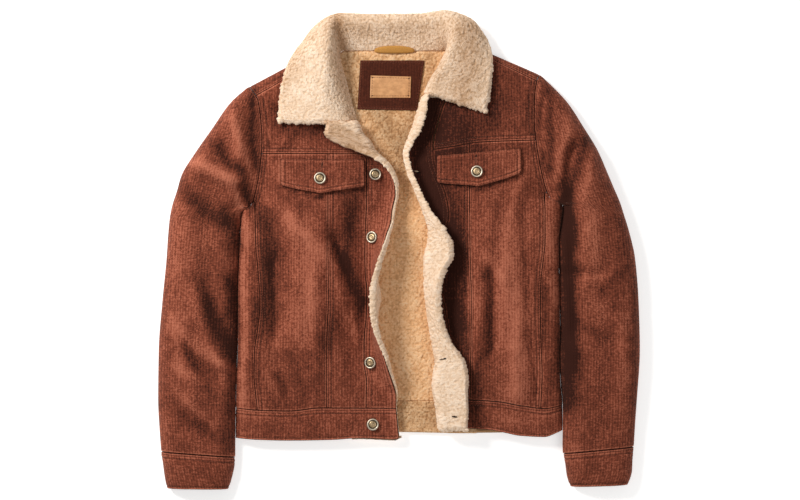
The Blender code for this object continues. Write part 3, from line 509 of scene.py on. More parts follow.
@dataclass(frozen=True)
class Metal:
    """Plated metal, mottled at random between rubbed bright and dark."""

    name: str
    dark: Colour
    bright: Colour
    roughness: float
    slot: str = "antique_metal"

    def make(self) -> bpy.types.Material:
        """Return the material."""
        g = Graph(self.name)
        cloud = g.noise(g.flat((700, 700)), 3.0)
        wear = cloud.clamped(0.35, 0.65)
        g.shade(Base_Color=g.colour(wear, self.dark, self.bright), Metallic=1.0,
                Roughness=self.roughness + 0.15 * (1 - wear), Normal=g.bump(cloud, 0.0001, 0.4))
        return g.material


@dataclass(frozen=True)
class Surface:
    """A plain matt surface: the pale one that the jacket lies on, if nothing else is given."""

    name: str = "pale_floor"
    colour: Colour = (0.93, 0.93, 0.93)
    glow: float = 0.50
    slot: str = ""

    def make(self) -> bpy.types.Material:
        """Return the material."""
        g = Graph(self.name)
        g.shade(Base_Color=(*self.colour, 1.0), Roughness=0.9, Specular_IOR_Level=0.1,
                Emission_Color=(1.0, 1.0, 1.0, 1.0), Emission_Strength=self.glow)
        return g.material


class Finishes:
    """The jacket's materials, each made once."""

    def __init__(self) -> None:
        """Make them."""
        self.corduroy = Corduroy()
        self.sherpa = Sherpa()
        # Painted shade: the lining's sherpa is a darker, more tan copy of the collar's, for the shade inside
        # the jacket.
        self.lining = Sherpa("sherpa_lining", (0.53, 0.275, 0.12), (0.86, 0.50, 0.25),
                             (0.90, 0.62, 0.37), (0.55, 0.54, 0.53), 0.3)
        self.patch = Corduroy("corduroy_patch", (0.042, 0.0105, 0.0055), (0.088, 0.021, 0.0105),
                              (0.15, 0.045, 0.025))
        self.thread = Yarn("seam_thread", (0.10, 0.035, 0.022), (0.24, 0.085, 0.052), "corduroy")
        self.whipping = Yarn("buttonhole_thread", (0.20, 0.07, 0.042), (0.46, 0.19, 0.125), "corduroy")
        # Painted shadow: near-black colour for buttonhole slits and pin holes, standing for the shade inside
        # them.
        self.hollow = Surface("buttonhole_hollow", (0.008, 0.004, 0.003), 0.0, "corduroy")
        self.tape = Yarn("loop_tape", (0.28, 0.115, 0.025), (0.68, 0.34, 0.085), "loop_tape", 0.0016)
        self.leather = Leather()
        self.nickel = Metal("button_nickel", (0.50, 0.42, 0.31), (0.86, 0.78, 0.64), 0.45)
        self.brass = Metal("button_brass", (0.26, 0.17, 0.09), (0.66, 0.50, 0.30), 0.42)
        # Painted shadow: a dark copy of the plated metal for the button's well and the foot of its rim.
        self.shadow = Metal("button_dark", (0.03, 0.022, 0.016), (0.09, 0.065, 0.045), 0.5)
        self.floor = Surface()
        self.made: dict[str, bpy.types.Material] = {}

    def material(self, finish: object) -> bpy.types.Material:
        """Return a finish's material."""
        if finish.name not in self.made:
            self.made[finish.name] = finish.make()
        return self.made[finish.name]


# ---------------------------------------------------------------- cloth

def grid_normals(points: Grid, sign: int, ring: bool = False) -> Grid:
    """Return the normals of a grid of points.

    Args:
        points: The points, by row and column.
        sign: 1 where columns and rows turn left seen from outside, -1 otherwise.
        ring: Whether the last column joins the first.

    Returns:
        Their unit normals.
    """
    if ring:
        across = np.roll(points, -1, 1) - np.roll(points, 1, 1)
    else:
        across = np.gradient(points, axis=1)
    normal = np.cross(across, np.gradient(points, axis=0)) * sign
    return normal / np.maximum(np.linalg.norm(normal, axis=-1), 1e-9)[..., None]


def lengths(points: Grid, axis: int) -> Grid:
    """Return the distance run along a grid's axis, from its first row or column."""
    step = np.linalg.norm(np.diff(points, axis=axis), axis=-1)
    pad = [(0, 0), (0, 0)]
    pad[axis] = (1, 0)
    return np.pad(np.cumsum(step, axis=axis), pad)


@dataclass
class Seam:
    """A row of topstitching along one border of a piece, and its dip in the cloth."""

    border: Border
    inset: float
    dip: float = 0.7
    start: float = 0.0
    end: float = 1.0


def rows_of(borders: Iterable[Border], insets: Sequence[float], **sizes: float) -> list[Seam]:
    """Return rows of topstitching along borders, one for each inset."""
    return [Seam(border, inset, **sizes) for border in borders for inset in insets]


@dataclass
class Cloth:
    """A sheet of cloth as a closed wall, from a grid of points on its outer face."""

    name: str
    points: Grid
    finish: object
    wall: float
    sign: int = 1
    lift: Grid | float = 0.0
    rim: float = 1.0
    across: Grid | None = None
    along: Grid | None = None
    seams: Sequence[Seam] = ()
    pucker: float = 0.5
    pillow: float = 0.5
    pile: float = 0.0
    pile_inside: bool = False
    pile_step: float = 1.15
    pile_reach: float = 400.0
    pile_turn: tuple[float, float] = (math.pi, math.pi)
    pile_turn_rows: tuple[float, float] = (math.pi, math.pi)
    pile_past: float = 0.0
    lowest: float = 0.2
    fringe: float = 0.0
    # Painted light: bands of painted shade on the pile, whether the body's painted shade and highlight are
    # added and at what share, and a painted shade or highlight offset.
    dimmed: Sequence[tuple[float, ...]] = ()
    toned: bool = True
    nap: float = 1.0
    shade: Grid | float = 0.0
    ring: bool = False
    seed: int = 1
    turned: float = 0.0
    normals: Grid = field(init=False)
    outer: Grid = field(init=False)

    def __post_init__(self) -> None:
        """Work out the normals, the distances from the borders and the outer face."""
        self.normals = grid_normals(self.points, self.sign, self.ring)
        run, rise = lengths(self.points, 1), lengths(self.points, 0)
        self.span = run, rise
        far = [run, run[:, -1:] - run, rise, rise[-1:] - rise]
        if self.ring:
            far[0] = far[1] = np.full_like(run, 1000.0)
        self.far = dict(zip(Border, far))
        if self.across is None:
            self.across = run - run[:, -1:] / 2
        if self.along is None:
            self.along = rise
        self.nearest = np.minimum.reduce(far)
        self.outer = self.points + self.normals * self.outer_lift()[..., None]

    def outer_lift(self) -> Grid:
        """Return how far the outer face stands off the given points."""
        noise = ValueNoise(self.seed)
        rounding = self.rim * (1 - dome(self.nearest / self.rim))
        lift = self.lift - rounding - self.pillow * bell(self.nearest, 2.2)
        for seam in self.seams:
            lift = lift - seam.dip * bell(self.far[seam.border] - seam.inset, 1.1)
            ripple = noise.at(self.across, self.along, 7.0) + noise.at(self.along, self.across, 13.0)
            lift = lift + self.pucker * ripple * bell(self.far[seam.border] - seam.inset, 9.0) * 0.6
        return lift

    @property
    def inner(self) -> Grid:
        """The inner face."""
        inward = self.wall - self.rim * (1 - dome(self.nearest / self.rim))
        return self.points + self.normals * (np.asarray(self.lift) - inward)[..., None]

    def ruled(self, ends: Sequence[float]) -> tuple[Grid, Grid]:
        """Draw a short straight line on the face that shows.

        Args:
            ends: x and y of its two ends.

        Returns:
            Points along it, and their normals.
        """
        face, away = self.outer, self.normals
        if self.pile_inside:
            face, away = self.inner - 0.8 * self.pile * self.normals, -self.normals
        start, end = np.array(ends[:2], float), np.array(ends[2:], float)
        far = np.linalg.norm(face[..., :2] - (start + end) / 2, axis=-1)
        top = face[far < 3][:, 2].max()
        spot = np.unravel_index(np.where(face[..., 2] < top - 4, np.inf, far).argmin(), far.shape)
        normal = away[spot] / max(away[spot][2], 0.3)
        plan = start + (end - start) * np.linspace(0, 1, 7)[:, None]
        z = face[spot][2] - (plan - face[spot][:2]) @ normal[:2]
        return np.concatenate([plan, z[:, None]], 1), np.tile(away[spot], (7, 1))

    def tone(self) -> Grid:
        """Return the painted shade and painted highlight, with a little random tone, from dark at -1 to
        bright at 1.
        """
        noise = ValueNoise(self.seed + 17)
        # A painted shade or highlight offset for the piece, with random tone.
        tone = self.shade + 0.10 * noise.at(self.across, self.along, 34.0)
        tone = tone + 0.12 * noise.at(self.along, self.across, 13.0)
        # The body's painted shade and highlight from its folds.
        if self.toned:
            tone = tone + self.nap * SHAPE.tone(self.points[..., 0], self.points[..., 1])
        # Painted highlight on the raised edge just inside each border, painted shade in the seam at the
        # border.
        tone = tone + 1.5 * bell(self.nearest - 1.5, 0.9) - 1.9 * bell(self.nearest, 0.85)
        for seam in self.seams:
            far = self.far[seam.border] - seam.inset
            # Painted shade in the stitch groove, painted highlight on the cloth puffed up either side.
            tone = tone - 0.8 * bell(far, 0.9) + 0.45 * bell(far - 2.3, 1.1) + 0.3 * bell(far + 2.3, 1.1)
        return np.clip(tone, -2.0, 1.3)

    def build_pile(self, base: Grid, normals: Grid, wall: float, finishes: Finishes) -> bpy.types.Object:
        """Make the curled pile on one face, carried round its edges.

        Args:
            base: The face's points.
            normals: Its outward normals.
            wall: The thickness that the pile goes round at the edges.
            finishes: The materials.

        Returns:
            The pile.
        """
        keep = np.abs(self.across.mean(0)) <= self.pile_reach
        base, normals = base[:, keep], normals[:, keep]
        flat = np.stack([self.across, self.along], -1)[:, keep]
        places = []
        for axis in (0, 1):
            run = lengths(base, axis).mean(1 - axis)
            start, end = (self.pile_turn_rows, self.pile_turn)[axis]
            past_end = self.pile_past if axis == 0 else 0.0
            low, high = -start * wall / 2, run[-1] + end * wall / 2 + past_end
            steps = np.linspace(low, high, round((high - low) / self.pile_step))
            places.append((steps, np.interp(steps, run, np.arange(len(run))), run[-1]))
        (v, row, long), (u, column, width) = places
        spots = mesh_between(base, row, column)
        upright = mesh_between(normals, row, column)
        upright /= np.maximum(np.linalg.norm(upright, axis=-1), 1e-9)[..., None]
        ahead = np.gradient(base, axis=0)
        aside = np.gradient(base, axis=1)
        out_v = mesh_between(ahead / np.linalg.norm(ahead, axis=-1)[..., None], row, column)
        out_u = mesh_between(aside / np.linalg.norm(aside, axis=-1)[..., None], row, column)
        past_v = (np.maximum(v - long, 0) + np.minimum(v, 0))[:, None] + 0 * u[None, :]
        past_u = (np.maximum(u - width, 0) + np.minimum(u, 0))[None, :] + 0 * v[:, None]
        past = np.hypot(past_u, past_v)
        outward = out_v * past_v[..., None] + out_u * past_u[..., None]
        outward /= np.maximum(np.linalg.norm(outward, axis=-1), 1e-9)[..., None]
        limit = math.pi
        if self.pile_past:
            limit = np.where(v[:, None] > long, self.pile_turn_rows[1], math.pi)
        turn = np.minimum(past / (wall / 2), limit)[..., None]
        rest = past[..., None] - turn * wall / 2
        spots = spots + outward * np.sin(turn) * wall / 2 - upright * (1 - np.cos(turn)) * wall / 2
        spots = spots + rest * (outward * np.cos(turn) - upright * np.sin(turn))
        upright, outward = (upright * np.cos(turn) + outward * np.sin(turn),
                            outward * np.cos(turn) - upright * np.sin(turn))
        flat = mesh_between(flat, row, column) + np.stack([past_u, past_v], -1)
        height, warp = self.curls(flat[..., 0], flat[..., 1])
        thick = self.pile * height * (1 - 0.9 * ease((turn[..., 0] - 1.5) / 1.2))
        tufts = Bobbles(self.seed + 7, 4.6).at(flat[..., 0], flat[..., 1]) ** 2.2
        tufts *= self.fringe * bell(turn[..., 0] - 1.5, 0.9)
        spots = spots + upright * (thick + tufts)[..., None]
        lean = (1 - ease(turn[..., 0] / 1.5))[..., None]
        spots = spots + (np.cross(upright, out_v) * warp[0][..., None] + out_v * warp[1][..., None]) * lean
        spots[..., 2] = np.maximum(spots[..., 2], self.lowest)
        rows, columns = spots.shape[:2]
        index = np.arange(rows * columns).reshape(rows, columns)
        faces = np.stack([index[:-1, :-1], index[:-1, 1:], index[1:, 1:], index[1:, :-1]], -1).reshape(-1, 4)
        middle = rows // 2, columns // 2
        facing = np.cross(spots[middle[0], middle[1] + 1] - spots[middle],
                          spots[middle[0] + 1, middle[1]] - spots[middle]) @ upright[middle]
        if facing < 0:
            faces = faces[:, ::-1]
        mesh = bpy.data.meshes.new(f"{self.name}_pile")
        mesh.from_pydata((spots.reshape(-1, 3) * MM).tolist(), [], faces.tolist())
        # The pile's painted shade goes on the mesh for its material.
        dim = mesh_between(self.dim(base)[..., None], row, column)
        paint(mesh, flat.reshape(-1, 2) * MM, pile=height.ravel(), tone=dim.ravel())
        return place(mesh, self.finish, finishes)

    def dim(self, base: Grid) -> Grid:
        """Return the painted shade on the pile at places, below 0."""
        x, y = base[..., 0] / SHAPE.square, base[..., 1] / SHAPE.square
        return sum((Fold(*row).at(x, y) for row in self.dimmed), np.zeros(x.shape))

    def curls(self, u: Grid, v: Grid) -> tuple[Grid, tuple[Grid, Grid]]:
        """Return the pile's height from 0 to 1, and how far it leans across and along."""
        noise = ValueNoise(self.seed + 3)
        lean = 0.9 * noise.at(u, v, 6.0), 0.9 * noise.at(v + 31, u, 6.0)
        a, b = u + lean[0], v + lean[1]
        small = Bobbles(self.seed + 90, 3.9).at(a, b)
        large = noise.at(a + 70, b, 11.0)
        return np.clip(0.86 * small + 0.14 * large, 0, 1), (0.35 * lean[0], 0.35 * lean[1])

    def cut(self) -> tuple[tuple[float, float], float]:
        """Return the width and length of the flat cloth, and its area, in metres."""
        run, rise = self.span
        a, b = self.points[:-1, :-1], self.points[1:, 1:]
        c, d = self.points[:-1, 1:], self.points[1:, :-1]
        area = np.linalg.norm(np.cross(b - a, d - c), axis=-1).sum() / 2
        width = run[:, -1].max()
        if self.ring:
            width += np.linalg.norm(self.points[:, 0] - self.points[:, -1], axis=-1).max()
        width, long = width + self.turned, rise[-1].max()
        area = min(area + self.turned * long, width * long)
        return (width * MM, long * MM), area * MM * MM

    def line(self, seam: Seam) -> tuple[Grid, Grid]:
        """Return the points and normals of a seam's line on the outer face."""
        far = self.far[seam.border]
        by_row = seam.border in (Border.FIRST_COLUMN, Border.LAST_COLUMN)
        tables = (far, self.outer, self.normals)
        if not by_row:
            tables = tuple(np.swapaxes(t, 0, 1) for t in tables)
        spots, normals = [], []
        for distance, points, normal in zip(*tables):
            order = slice(None) if distance[0] < distance[-1] else slice(None, None, -1)
            if distance.max() < seam.inset:
                continue
            spots.append([np.interp(seam.inset, distance[order], points[order, k]) for k in range(3)])
            normals.append([np.interp(seam.inset, distance[order], normal[order, k]) for k in range(3)])
        count = len(spots)
        keep = slice(round(seam.start * count), max(round(seam.end * count), 2))
        return np.array(spots)[keep], np.array(normals)[keep]

    def build(self, finishes: Finishes, rests_on: Sequence[str] = ()) -> bpy.types.Object:
        """Make the piece, which stands for the CAD node of its name.

        Args:
            finishes: The materials.
            rests_on: The pieces or nodes that it lies on; not used.

        Returns:
            The piece.
        """
        outer, inner = self.outer, self.inner
        mesh = wall_mesh(f"{self.name}_cloth", outer, inner, self.sign, self.ring)
        uv = np.stack([self.across, self.along], -1).reshape(-1, 2) * MM
        # The cloth's painted shade and highlight go on the mesh for its material.
        paint(mesh, np.vstack([uv, uv]), tone=np.tile(self.tone().reshape(-1), 2),
              pile=np.full(2 * len(uv), 0.35))
        piece = place(mesh, self.finish, finishes)
        if self.pile:
            face, away = (inner, -self.normals) if self.pile_inside else (outer, self.normals)
            self.build_pile(face, away, self.wall, finishes)
        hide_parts(self.name)
        flat, area = self.cut()
        LOG.info("%s: cut %.0f x %.0f mm, %.4f square metres", self.name, flat[0] / MM, flat[1] / MM, area)
        return piece


def wall_mesh(name: str, outer: Grid, inner: Grid, sign: int, ring: bool) -> bpy.types.Mesh:
    """Make the closed wall between two grids of points in millimetres.

    Args:
        name: The mesh's name.
        outer: The outer face.
        inner: The inner face.
        sign: 1 where columns and rows turn left seen from outside, -1 otherwise.
        ring: Whether the last column joins the first.

    Returns:
        The mesh.
    """
    rows, columns = outer.shape[:2]
    index = np.arange(rows * columns).reshape(rows, columns)
    if ring:
        index = np.hstack([index, index[:, :1]])
    low, high = index[:-1], index[1:]
    face = np.stack([low[:, :-1], low[:, 1:], high[:, 1:], high[:, :-1]], -1).reshape(-1, 4)
    offset = rows * columns
    rims = [(index[0, 1:], index[0, :-1]), (index[-1, :-1], index[-1, 1:])]
    if not ring:
        rims += [(index[:-1, 0], index[1:, 0]), (index[1:, -1], index[:-1, -1])]
    parts = [face, face[:, ::-1] + offset]
    parts += [np.stack([a, b, b + offset, a + offset], -1) for a, b in rims]
    faces = np.vstack(parts)
    if sign < 0:
        faces = faces[:, ::-1]
    points = np.vstack([outer.reshape(-1, 3), inner.reshape(-1, 3)]) * MM
    mesh = bpy.data.meshes.new(name)
    mesh.from_pydata(points.tolist(), [], faces.tolist())
    return mesh


def mesh_between(grid: Grid, row: Grid, column: Grid) -> Grid:
    """Read a grid of vectors between its rows and columns.

    Args:
        grid: The grid.
        row: Places along its rows, with fractions.
        column: Places along its columns, with fractions.

    Returns:
        The vectors there.
    """
    i = np.clip(row.astype(int), 0, grid.shape[0] - 2)
    j = np.clip(column.astype(int), 0, grid.shape[1] - 2)
    t, s = (row - i)[:, None, None], (column - j)[None, :, None]
    low = grid[i][:, j] * (1 - s) + grid[i][:, j + 1] * s
    high = grid[i + 1][:, j] * (1 - s) + grid[i + 1][:, j + 1] * s
    return low * (1 - t) + high * t


def paint(mesh: bpy.types.Mesh, uv: Grid, **layers: Grid) -> None:
    """Give a mesh its cloth coordinates and named numbers, by vertex."""
    corners = np.zeros(len(mesh.loops), int)
    mesh.loops.foreach_get("vertex_index", corners)
    layer = mesh.uv_layers.new(name="Cloth")
    layer.data.foreach_set("uv", uv[corners].astype(np.float32).ravel())
    for name, values in layers.items():
        layer = mesh.attributes.new(name, "FLOAT", "POINT")
        layer.data.foreach_set("value", values.astype(np.float32))


def place(mesh: bpy.types.Mesh, finish: object, finishes: Finishes) -> bpy.types.Object:
    """Put a mesh in the scene, shaded smooth, as a piece of the jacket."""
    mesh.materials.append(finishes.material(finish))
    mesh.shade_smooth()
    piece = bpy.data.objects.new(mesh.name, mesh)
    bpy.context.scene.collection.objects.link(piece)
    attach(piece, BODY)
    return piece


@dataclass
class Stitching:
    """Rows of thread stitches that lie in the cloth."""

    name: str
    stitch: float = 3.4
    gap: float = 1.0
    width: float = 0.85
    height: float = 0.35
    finish: object = None
    lines: list[tuple[Grid, Grid]] = field(default_factory=list)

    def add(self, cloth: Cloth) -> None:
        """Follow every seam of a piece of cloth."""
        self.lines += [cloth.line(seam) for seam in cloth.seams]

    def build(self, finishes: Finishes) -> bpy.types.Object:
        """Make the stitches as one piece."""
        points, faces = [], []
        for spots, normals in self.lines:
            run = np.concatenate([[0], np.cumsum(np.linalg.norm(np.diff(spots, axis=0), axis=1))])
            starts = np.arange(self.gap, run[-1] - self.stitch, self.stitch + self.gap)
            at = starts[:, None] + np.array([0, 0.5, 1]) * self.stitch
            middle = np.stack([np.interp(at, run, spots[:, k]) for k in range(3)], -1)
            normal = np.stack([np.interp(at, run, normals[:, k]) for k in range(3)], -1)
            normal /= np.linalg.norm(normal, axis=-1)[..., None]
            ahead = middle[:, 2:] - middle[:, :1]
            side = np.cross(normal, ahead)
            side /= np.maximum(np.linalg.norm(side, axis=-1), 1e-9)[..., None]
            rise = np.array([-0.15, 1, -0.15])[None, :, None] * self.height
            half = np.array([0.5, 1, 0.5])[None, :, None] * self.width / 2
            rings = np.stack([middle + side * half, middle + normal * (rise + half),
                              middle - side * half, middle - normal * half], 2)
            base = len(points) * 12
            for k, ring in enumerate(rings.reshape(-1, 12, 3)):
                points.append(ring)
                first = base + k * 12
                for row in (0, 4):
                    faces += [(first + row + i, first + row + (i + 1) % 4,
                               first + row + 4 + (i + 1) % 4, first + row + 4 + i) for i in range(4)]
                faces.append((first + 3, first + 2, first + 1, first))
                faces.append((first + 8, first + 9, first + 10, first + 11))
        points = np.concatenate(points)
        mesh = bpy.data.meshes.new(self.name)
        mesh.from_pydata((points * MM).tolist(), [], faces)
        paint(mesh, points[:, :2] * MM)
        LOG.info("%s: %d stitches", self.name, len(points) // 12)
        return place(mesh, self.finish or finishes.thread, finishes)


class Mark(Enum):
    """What a small mark in cloth shows, by the finish that it has."""

    # A slit is laid in the painted shadow colour, a tuft in the pile's own colour.
    SLIT = "hollow"
    TUFT = "sherpa"


@dataclass(frozen=True)
class Hole:
    """A buttonhole's slit, or a tuft of pile in it, by its ends in plan."""

    piece: str
    ends: tuple[float, float, float, float]
    width: float
    mark: Mark = Mark.SLIT
    whipped: tuple[float, ...] = ()


@dataclass
class Holes:
    """Slits laid on cloth in painted shadow, whipped with thread where they show on corduroy."""

    name: str
    holes: Sequence[Hole]
    beside: float = 1.0

    def build(self, pieces: dict[str, Cloth], finishes: Finishes) -> None:
        """Make the slits and the thread beside them."""
        thread = Stitching(f"{self.name}_thread", 1.3, 0.2, 0.75, 0.3, finishes.whipping)
        for number, hole in enumerate(self.holes, 1):
            spots, normals = pieces[hole.piece].ruled(hole.ends)
            long = float(np.linalg.norm(spots[-1] - spots[0]))
            slit = Stitching(f"{self.name}_{number}", 0.94 * long, 0.02 * long, hole.width, 0.4,
                             getattr(finishes, hole.mark.value), [(spots, normals)])
            slit.build(finishes)
            if hole.whipped:
                spots, normals = pieces[hole.piece].ruled(hole.whipped)
                side = np.cross(normals, spots[-1] - spots[0])
                side /= np.linalg.norm(side, axis=-1)[:, None]
                thread.lines += [(spots + sign * self.beside * side, normals) for sign in (-1, 1)]
        if thread.lines:
            thread.build(finishes)


# ---------------------------------------------------------------- the body's shape

@dataclass
class Shape:
    """The sizes that the jacket's pieces share."""

    side_seam_z: float = 9.15
    side_roll: float = 34.0
    shoulder_roll: float = 30.0
    armhole_dip: float = 46.0
    opening_slope: float = 78.0
    under_roll: float = 9.0
    armpit_end: float = 5.0
    corduroy: float = 2.5
    sherpa: float = 6.0
    neck_y: float = 329.0
    armhole_rise: Table = field(default_factory=lambda: Table("rise z", [
        (-12, 9.45), (2, 9.45), (14, 19), (34, 27), (60, 30), (210, 30)]))
    folds: list[Fold] = field(default_factory=lambda: [Fold(*row) for row in [
        # left sleeve
        (-271, 218, -246, 132, 14, 6), (-320, 140, -268, 111, 13, 6), (-345, 91, -287, 41, 14, -6),
        (-318, -62, -273, -160, 14, -7), (-334, -88, -282, -206, 12, 5),
        (-361, -165, -304, -215, 12, -4), (-361, -272, -304, -310, 12, -4),
        # right sleeve
        (281, 83, 289, -132, 15, -7), (316, 132, 324, -33, 17, 5), (287, 165, 276, 83, 11, -5),
        (274, -36, 332, -38, 9, -4), (330, -58, 373, -85, 12, -4), (300, -190, 350, -240, 14, -3),
        # left front
        (-205, 83, -114, 17, 18, 4), (-150, 17, -150, -132, 26, 4), (-200, -33, -200, -116, 18, -5),
        (-205, -190, -186, -231, 12, -4), (-97, 16, -70, -66, 13, -10), (-84, -83, -66, -132, 9, 3),
        # right front
        (108, 130, 104, -100, 20, -4), (195, -17, 195, -240, 26, 5), (150, -13, 170, -44, 10, 4),
        (150, -40, 150, -165, 11, -5), (200, -185, 218, -208, 12, -4)]])

    wrinkles: list[Fold] = field(default_factory=lambda: [Fold(*row, 1.45) for row in [
        # left sleeve
        (-241, 252, -236, 145, 6, -5), (-274, 212, -252, 132, 8, 4), (-286, 168, -248, 84, 8, -6),
        (-334, 141, -268, 113, 8, 5), (-318, 116, -262, 92, 7, -4), (-350, 88, -292, 36, 9, -5),
        (-330, 66, -276, 40, 8, 3), (-300, 20, -268, -40, 9, 3), (-340, 10, -318, -60, 14, 3),
        (-318, -62, -273, -160, 9, -4), (-352, -130, -340, -250, 12, 3),
        (-345, -176, -300, -206, 8, -4), (-352, -276, -300, -306, 7, -4),
        (-330, -238, -286, -262, 8, 3), (-300, -300, -280, -322, 6, 3),
        # right sleeve
        (240, 245, 236, 150, 6, -5), (284, 222, 262, 128, 9, 4), (290, 165, 262, 96, 7, -5),
        (322, 150, 300, 60, 12, 4), (281, 83, 289, -132, 8, -4), (312, 40, 306, -60, 9, 3),
        (274, -36, 332, -40, 6, -3), (300, -120, 356, -150, 10, -3), (288, -160, 330, -215, 9, 3),
        (300, -250, 352, -292, 9, -3), (352, -60, 372, -160, 10, 3),
        # left front
        (-214, 70, -120, -8, 10, 4), (-226, 60, -170, -30, 9, -4), (-206, -20, -204, -150, 9, -4),
        (-170, 60, -165, -120, 10, 3), (-140, -40, -138, -200, 9, 3), (-186, -150, -150, -232, 9, -3),
        (-98, 12, -76, -60, 7, -7), (-88, -20, -72, -84, 6, 4), (-80, -96, -72, -150, 6, -4),
        (-102, -110, -92, -200, 8, 3), (-208, 150, -176, 196, 9, 3), (-190, 228, -150, 240, 10, -3),
        # right front
        (112, 60, 108, -110, 9, -4), (150, 60, 146, -60, 9, 3), (178, 20, 172, -120, 10, 3),
        (206, 60, 214, -90, 8, -4), (150, -40, 152, -165, 7, -4), (196, -120, 190, -236, 9, 3),
        (218, -150, 226, -240, 7, -3), (126, -150, 128, -240, 8, 3), (205, 120, 186, 60, 8, 3),
        (150, 232, 205, 214, 9, 3), (120, 200, 196, 196, 7, -2)]])
    soft: float = 0.22
    square: float = 1.65
    # Bands of painted shade (below 0) and painted highlight (above 0) on the corduroy, in squares: x0, y0,
    # x1, y1, width, amount.
    brushed: Sequence[tuple[float, ...]] = (
        # left sleeve
        (-146, 155, -143, 85, 4.5, -1.1), (-166, 132, -147, 75, 4, 0.9), (-184, 105, -159, 80, 5, -0.8),
        (-159, 80, -149, 45, 5, -1.3), (-199, 87, -167, 68, 6, 1.0), (-167, 68, -158, 43, 4, 1.0),
        (-206, 50, -177, 28, 7, -0.8), (-174, 35, -161, 5, 7, -0.9), (-191, -50, -177, -95, 8, -0.9),
        (-167, -35, -163, -110, 7, -1.3), (-221, 40, -223, -70, 14, 0.35), (-213, -85, -183, -110, 5, 0.7),
        (-183, -110, -163, -120, 5, 0.6), (-227, -75, -219, -118, 5, 0.6), (-219, -118, -203, -128, 5, 0.6),
        (-214, -95, -207, -112, 5, -0.7), (-194, -125, -189, -140, 8, -0.5),
        (-211, -168, -177, -192, 6, -0.6), (-219, -145, -199, -165, 5, 0.4),
        (-169, -130, -171, -200, 6, -0.6),
        # left front
        (-163, 71, -159, 52, 1.6, 0.9), (-159, 50, -156, 42, 1.6, 0.9), (-163, 38, -158, 22, 1.4, 0.8),
        (-153, 30, -156, -150, 5, 0.8), (-131, 40, -133, -60, 13, -0.9), (-143, -60, -145, -120, 6, -0.7),
        (-129, 50, -74, -5, 7, 0.7), (-87, 0, -91, -85, 10, 0.7), (-109, -70, -129, -100, 12, 0.35),
        (-47, 45, -53, -12, 7, -1.1), (-52, -12, -37, -48, 6, -1.3), (-67, -65, -71, -95, 6, -0.9),
        (-63, -35, -47, -85, 5, 0.5), (-34, -50, -41, -70, 4, -0.9), (-89, -105, -99, -150, 22, -0.25),
        (-135, -122, -125, -142, 3.5, 0.5), (-120, -128, -116, -142, 4, -0.6),
        (-124, 138, -114, 122, 6, -0.6),
        (-109, 122, -74, 117, 6, -0.7), (-33, 92, -33, 60, 4, -0.9), (-137, 120, -119, 75, 8, 0.15),
        # right front
        (31, 145, 46, 105, 22, -1.3), (66, 140, 71, 110, 16, -0.9), (95, 175, 93, 135, 9, -0.8),
        (121, 170, 111, 140, 20, -0.35), (19, 100, 31, 55, 16, -1.1), (41, 45, 59, 0, 14, -1.1),
        (53, -12, 53, -70, 12, -1.1), (63, -80, 79, -180, 11, -0.9), (51, 82, 111, 87, 9, 0.35),
        (111, 60, 113, 10, 14, 0.3), (77, 5, 75, -80, 6, 0.35), (91, -25, 93, -100, 6, -0.55),
        (90, -8, 101, -25, 4, 0.7), (111, -20, 121, -150, 11, 0.8), (121, -110, 133, -135, 4, 0.4),
        (143, -35, 142, -95, 4.5, -0.8), (151, 45, 154, -50, 6, 0.55), (157, -60, 153, -150, 6, -0.3),
        (81, -155, 146, -158, 4, -0.35), (106, -170, 136, -174, 5, 0.4),
        # flaps
        (-116, 63, -79, 54, 1.8, -1.0), (-79, 54, -33, 61, 1.8, -1.2), (-118, 94, -118, 66, 1.2, 0.9),
        (43, 66, 80, 61.5, 1.8, -1.2), (80, 61.5, 122, 74, 1.8, -1.2), (124, 100, 124, 78, 1.6, -1.0),
        (38, 90, 38, 68, 1.4, -0.7),
        # right sleeve
        (170, 45, 171, 15, 7, -2.0), (171, 15, 168, -150, 9, -1.5), (176, -90, 173, -120, 7, -0.6),
        (150, 155, 150, 85, 4.5, -1.0), (186, 105, 167, 55, 7, -1.3), (156, 54, 169, 64, 3, 0.8),
        (171, 120, 161, 75, 7, 0.5), (193, 70, 198, -20, 8, 0.55), (221, 50, 226, -10, 10, -0.35),
        (221, -22, 204, -42, 4, -0.6), (196, -40, 199, -75, 8, 0.35), (201, -85, 176, -75, 5, -0.6),
        (226, -50, 223, -140, 8, 0.35), (213, -50, 213, -75, 4, -0.5), (237, -30, 235, -210, 4, -0.5),
        (176, -190, 179, -220, 6, 0.3))

    def folded(self, x: Grid, y: Grid) -> Grid:
        """Return the height that all folds and wrinkles add at places."""
        noise = ValueNoise(9)
        drift = self.soft * (noise.at(x, y, 21.0) + 0.6 * noise.at(y, x, 11.0))
        x, y = x + 5 * noise.at(x, y, 38.0), y + 5 * noise.at(y, x + 90, 38.0)
        return sum(fold.at(x, y) for fold in [*self.folds, *self.wrinkles]) + drift

    def tone(self, x: Grid, y: Grid) -> Grid:
        """Return the painted light at places: painted highlight on ridges and on slopes facing the key light,
        painted shade on the others, and the listed bands.
        """
        near = 1.5
        across = (self.folded(x + near, y) - self.folded(x - near, y)) / (2 * near)
        along = (self.folded(x, y + near) - self.folded(x, y - near)) / (2 * near)
        # Painted highlight on ridges and on slopes that face the key light at the upper left, painted shade
        # on slopes turned away.
        shade = 0.028 * self.folded(x, y) + 0.72 * across - 0.5 * along
        noise = ValueNoise(23)
        x, y = x + 3 * noise.at(x, y, 25.0), y + 3 * noise.at(y, x + 60, 25.0)
        for x0, y0, x1, y1, width, amount in self.brushed:
            line = Fold(*(self.square * v for v in (x0, y0, x1, y1, width)), amount)
            shade = shade + line.at(x, y)
        return shade


SHAPE = Shape()


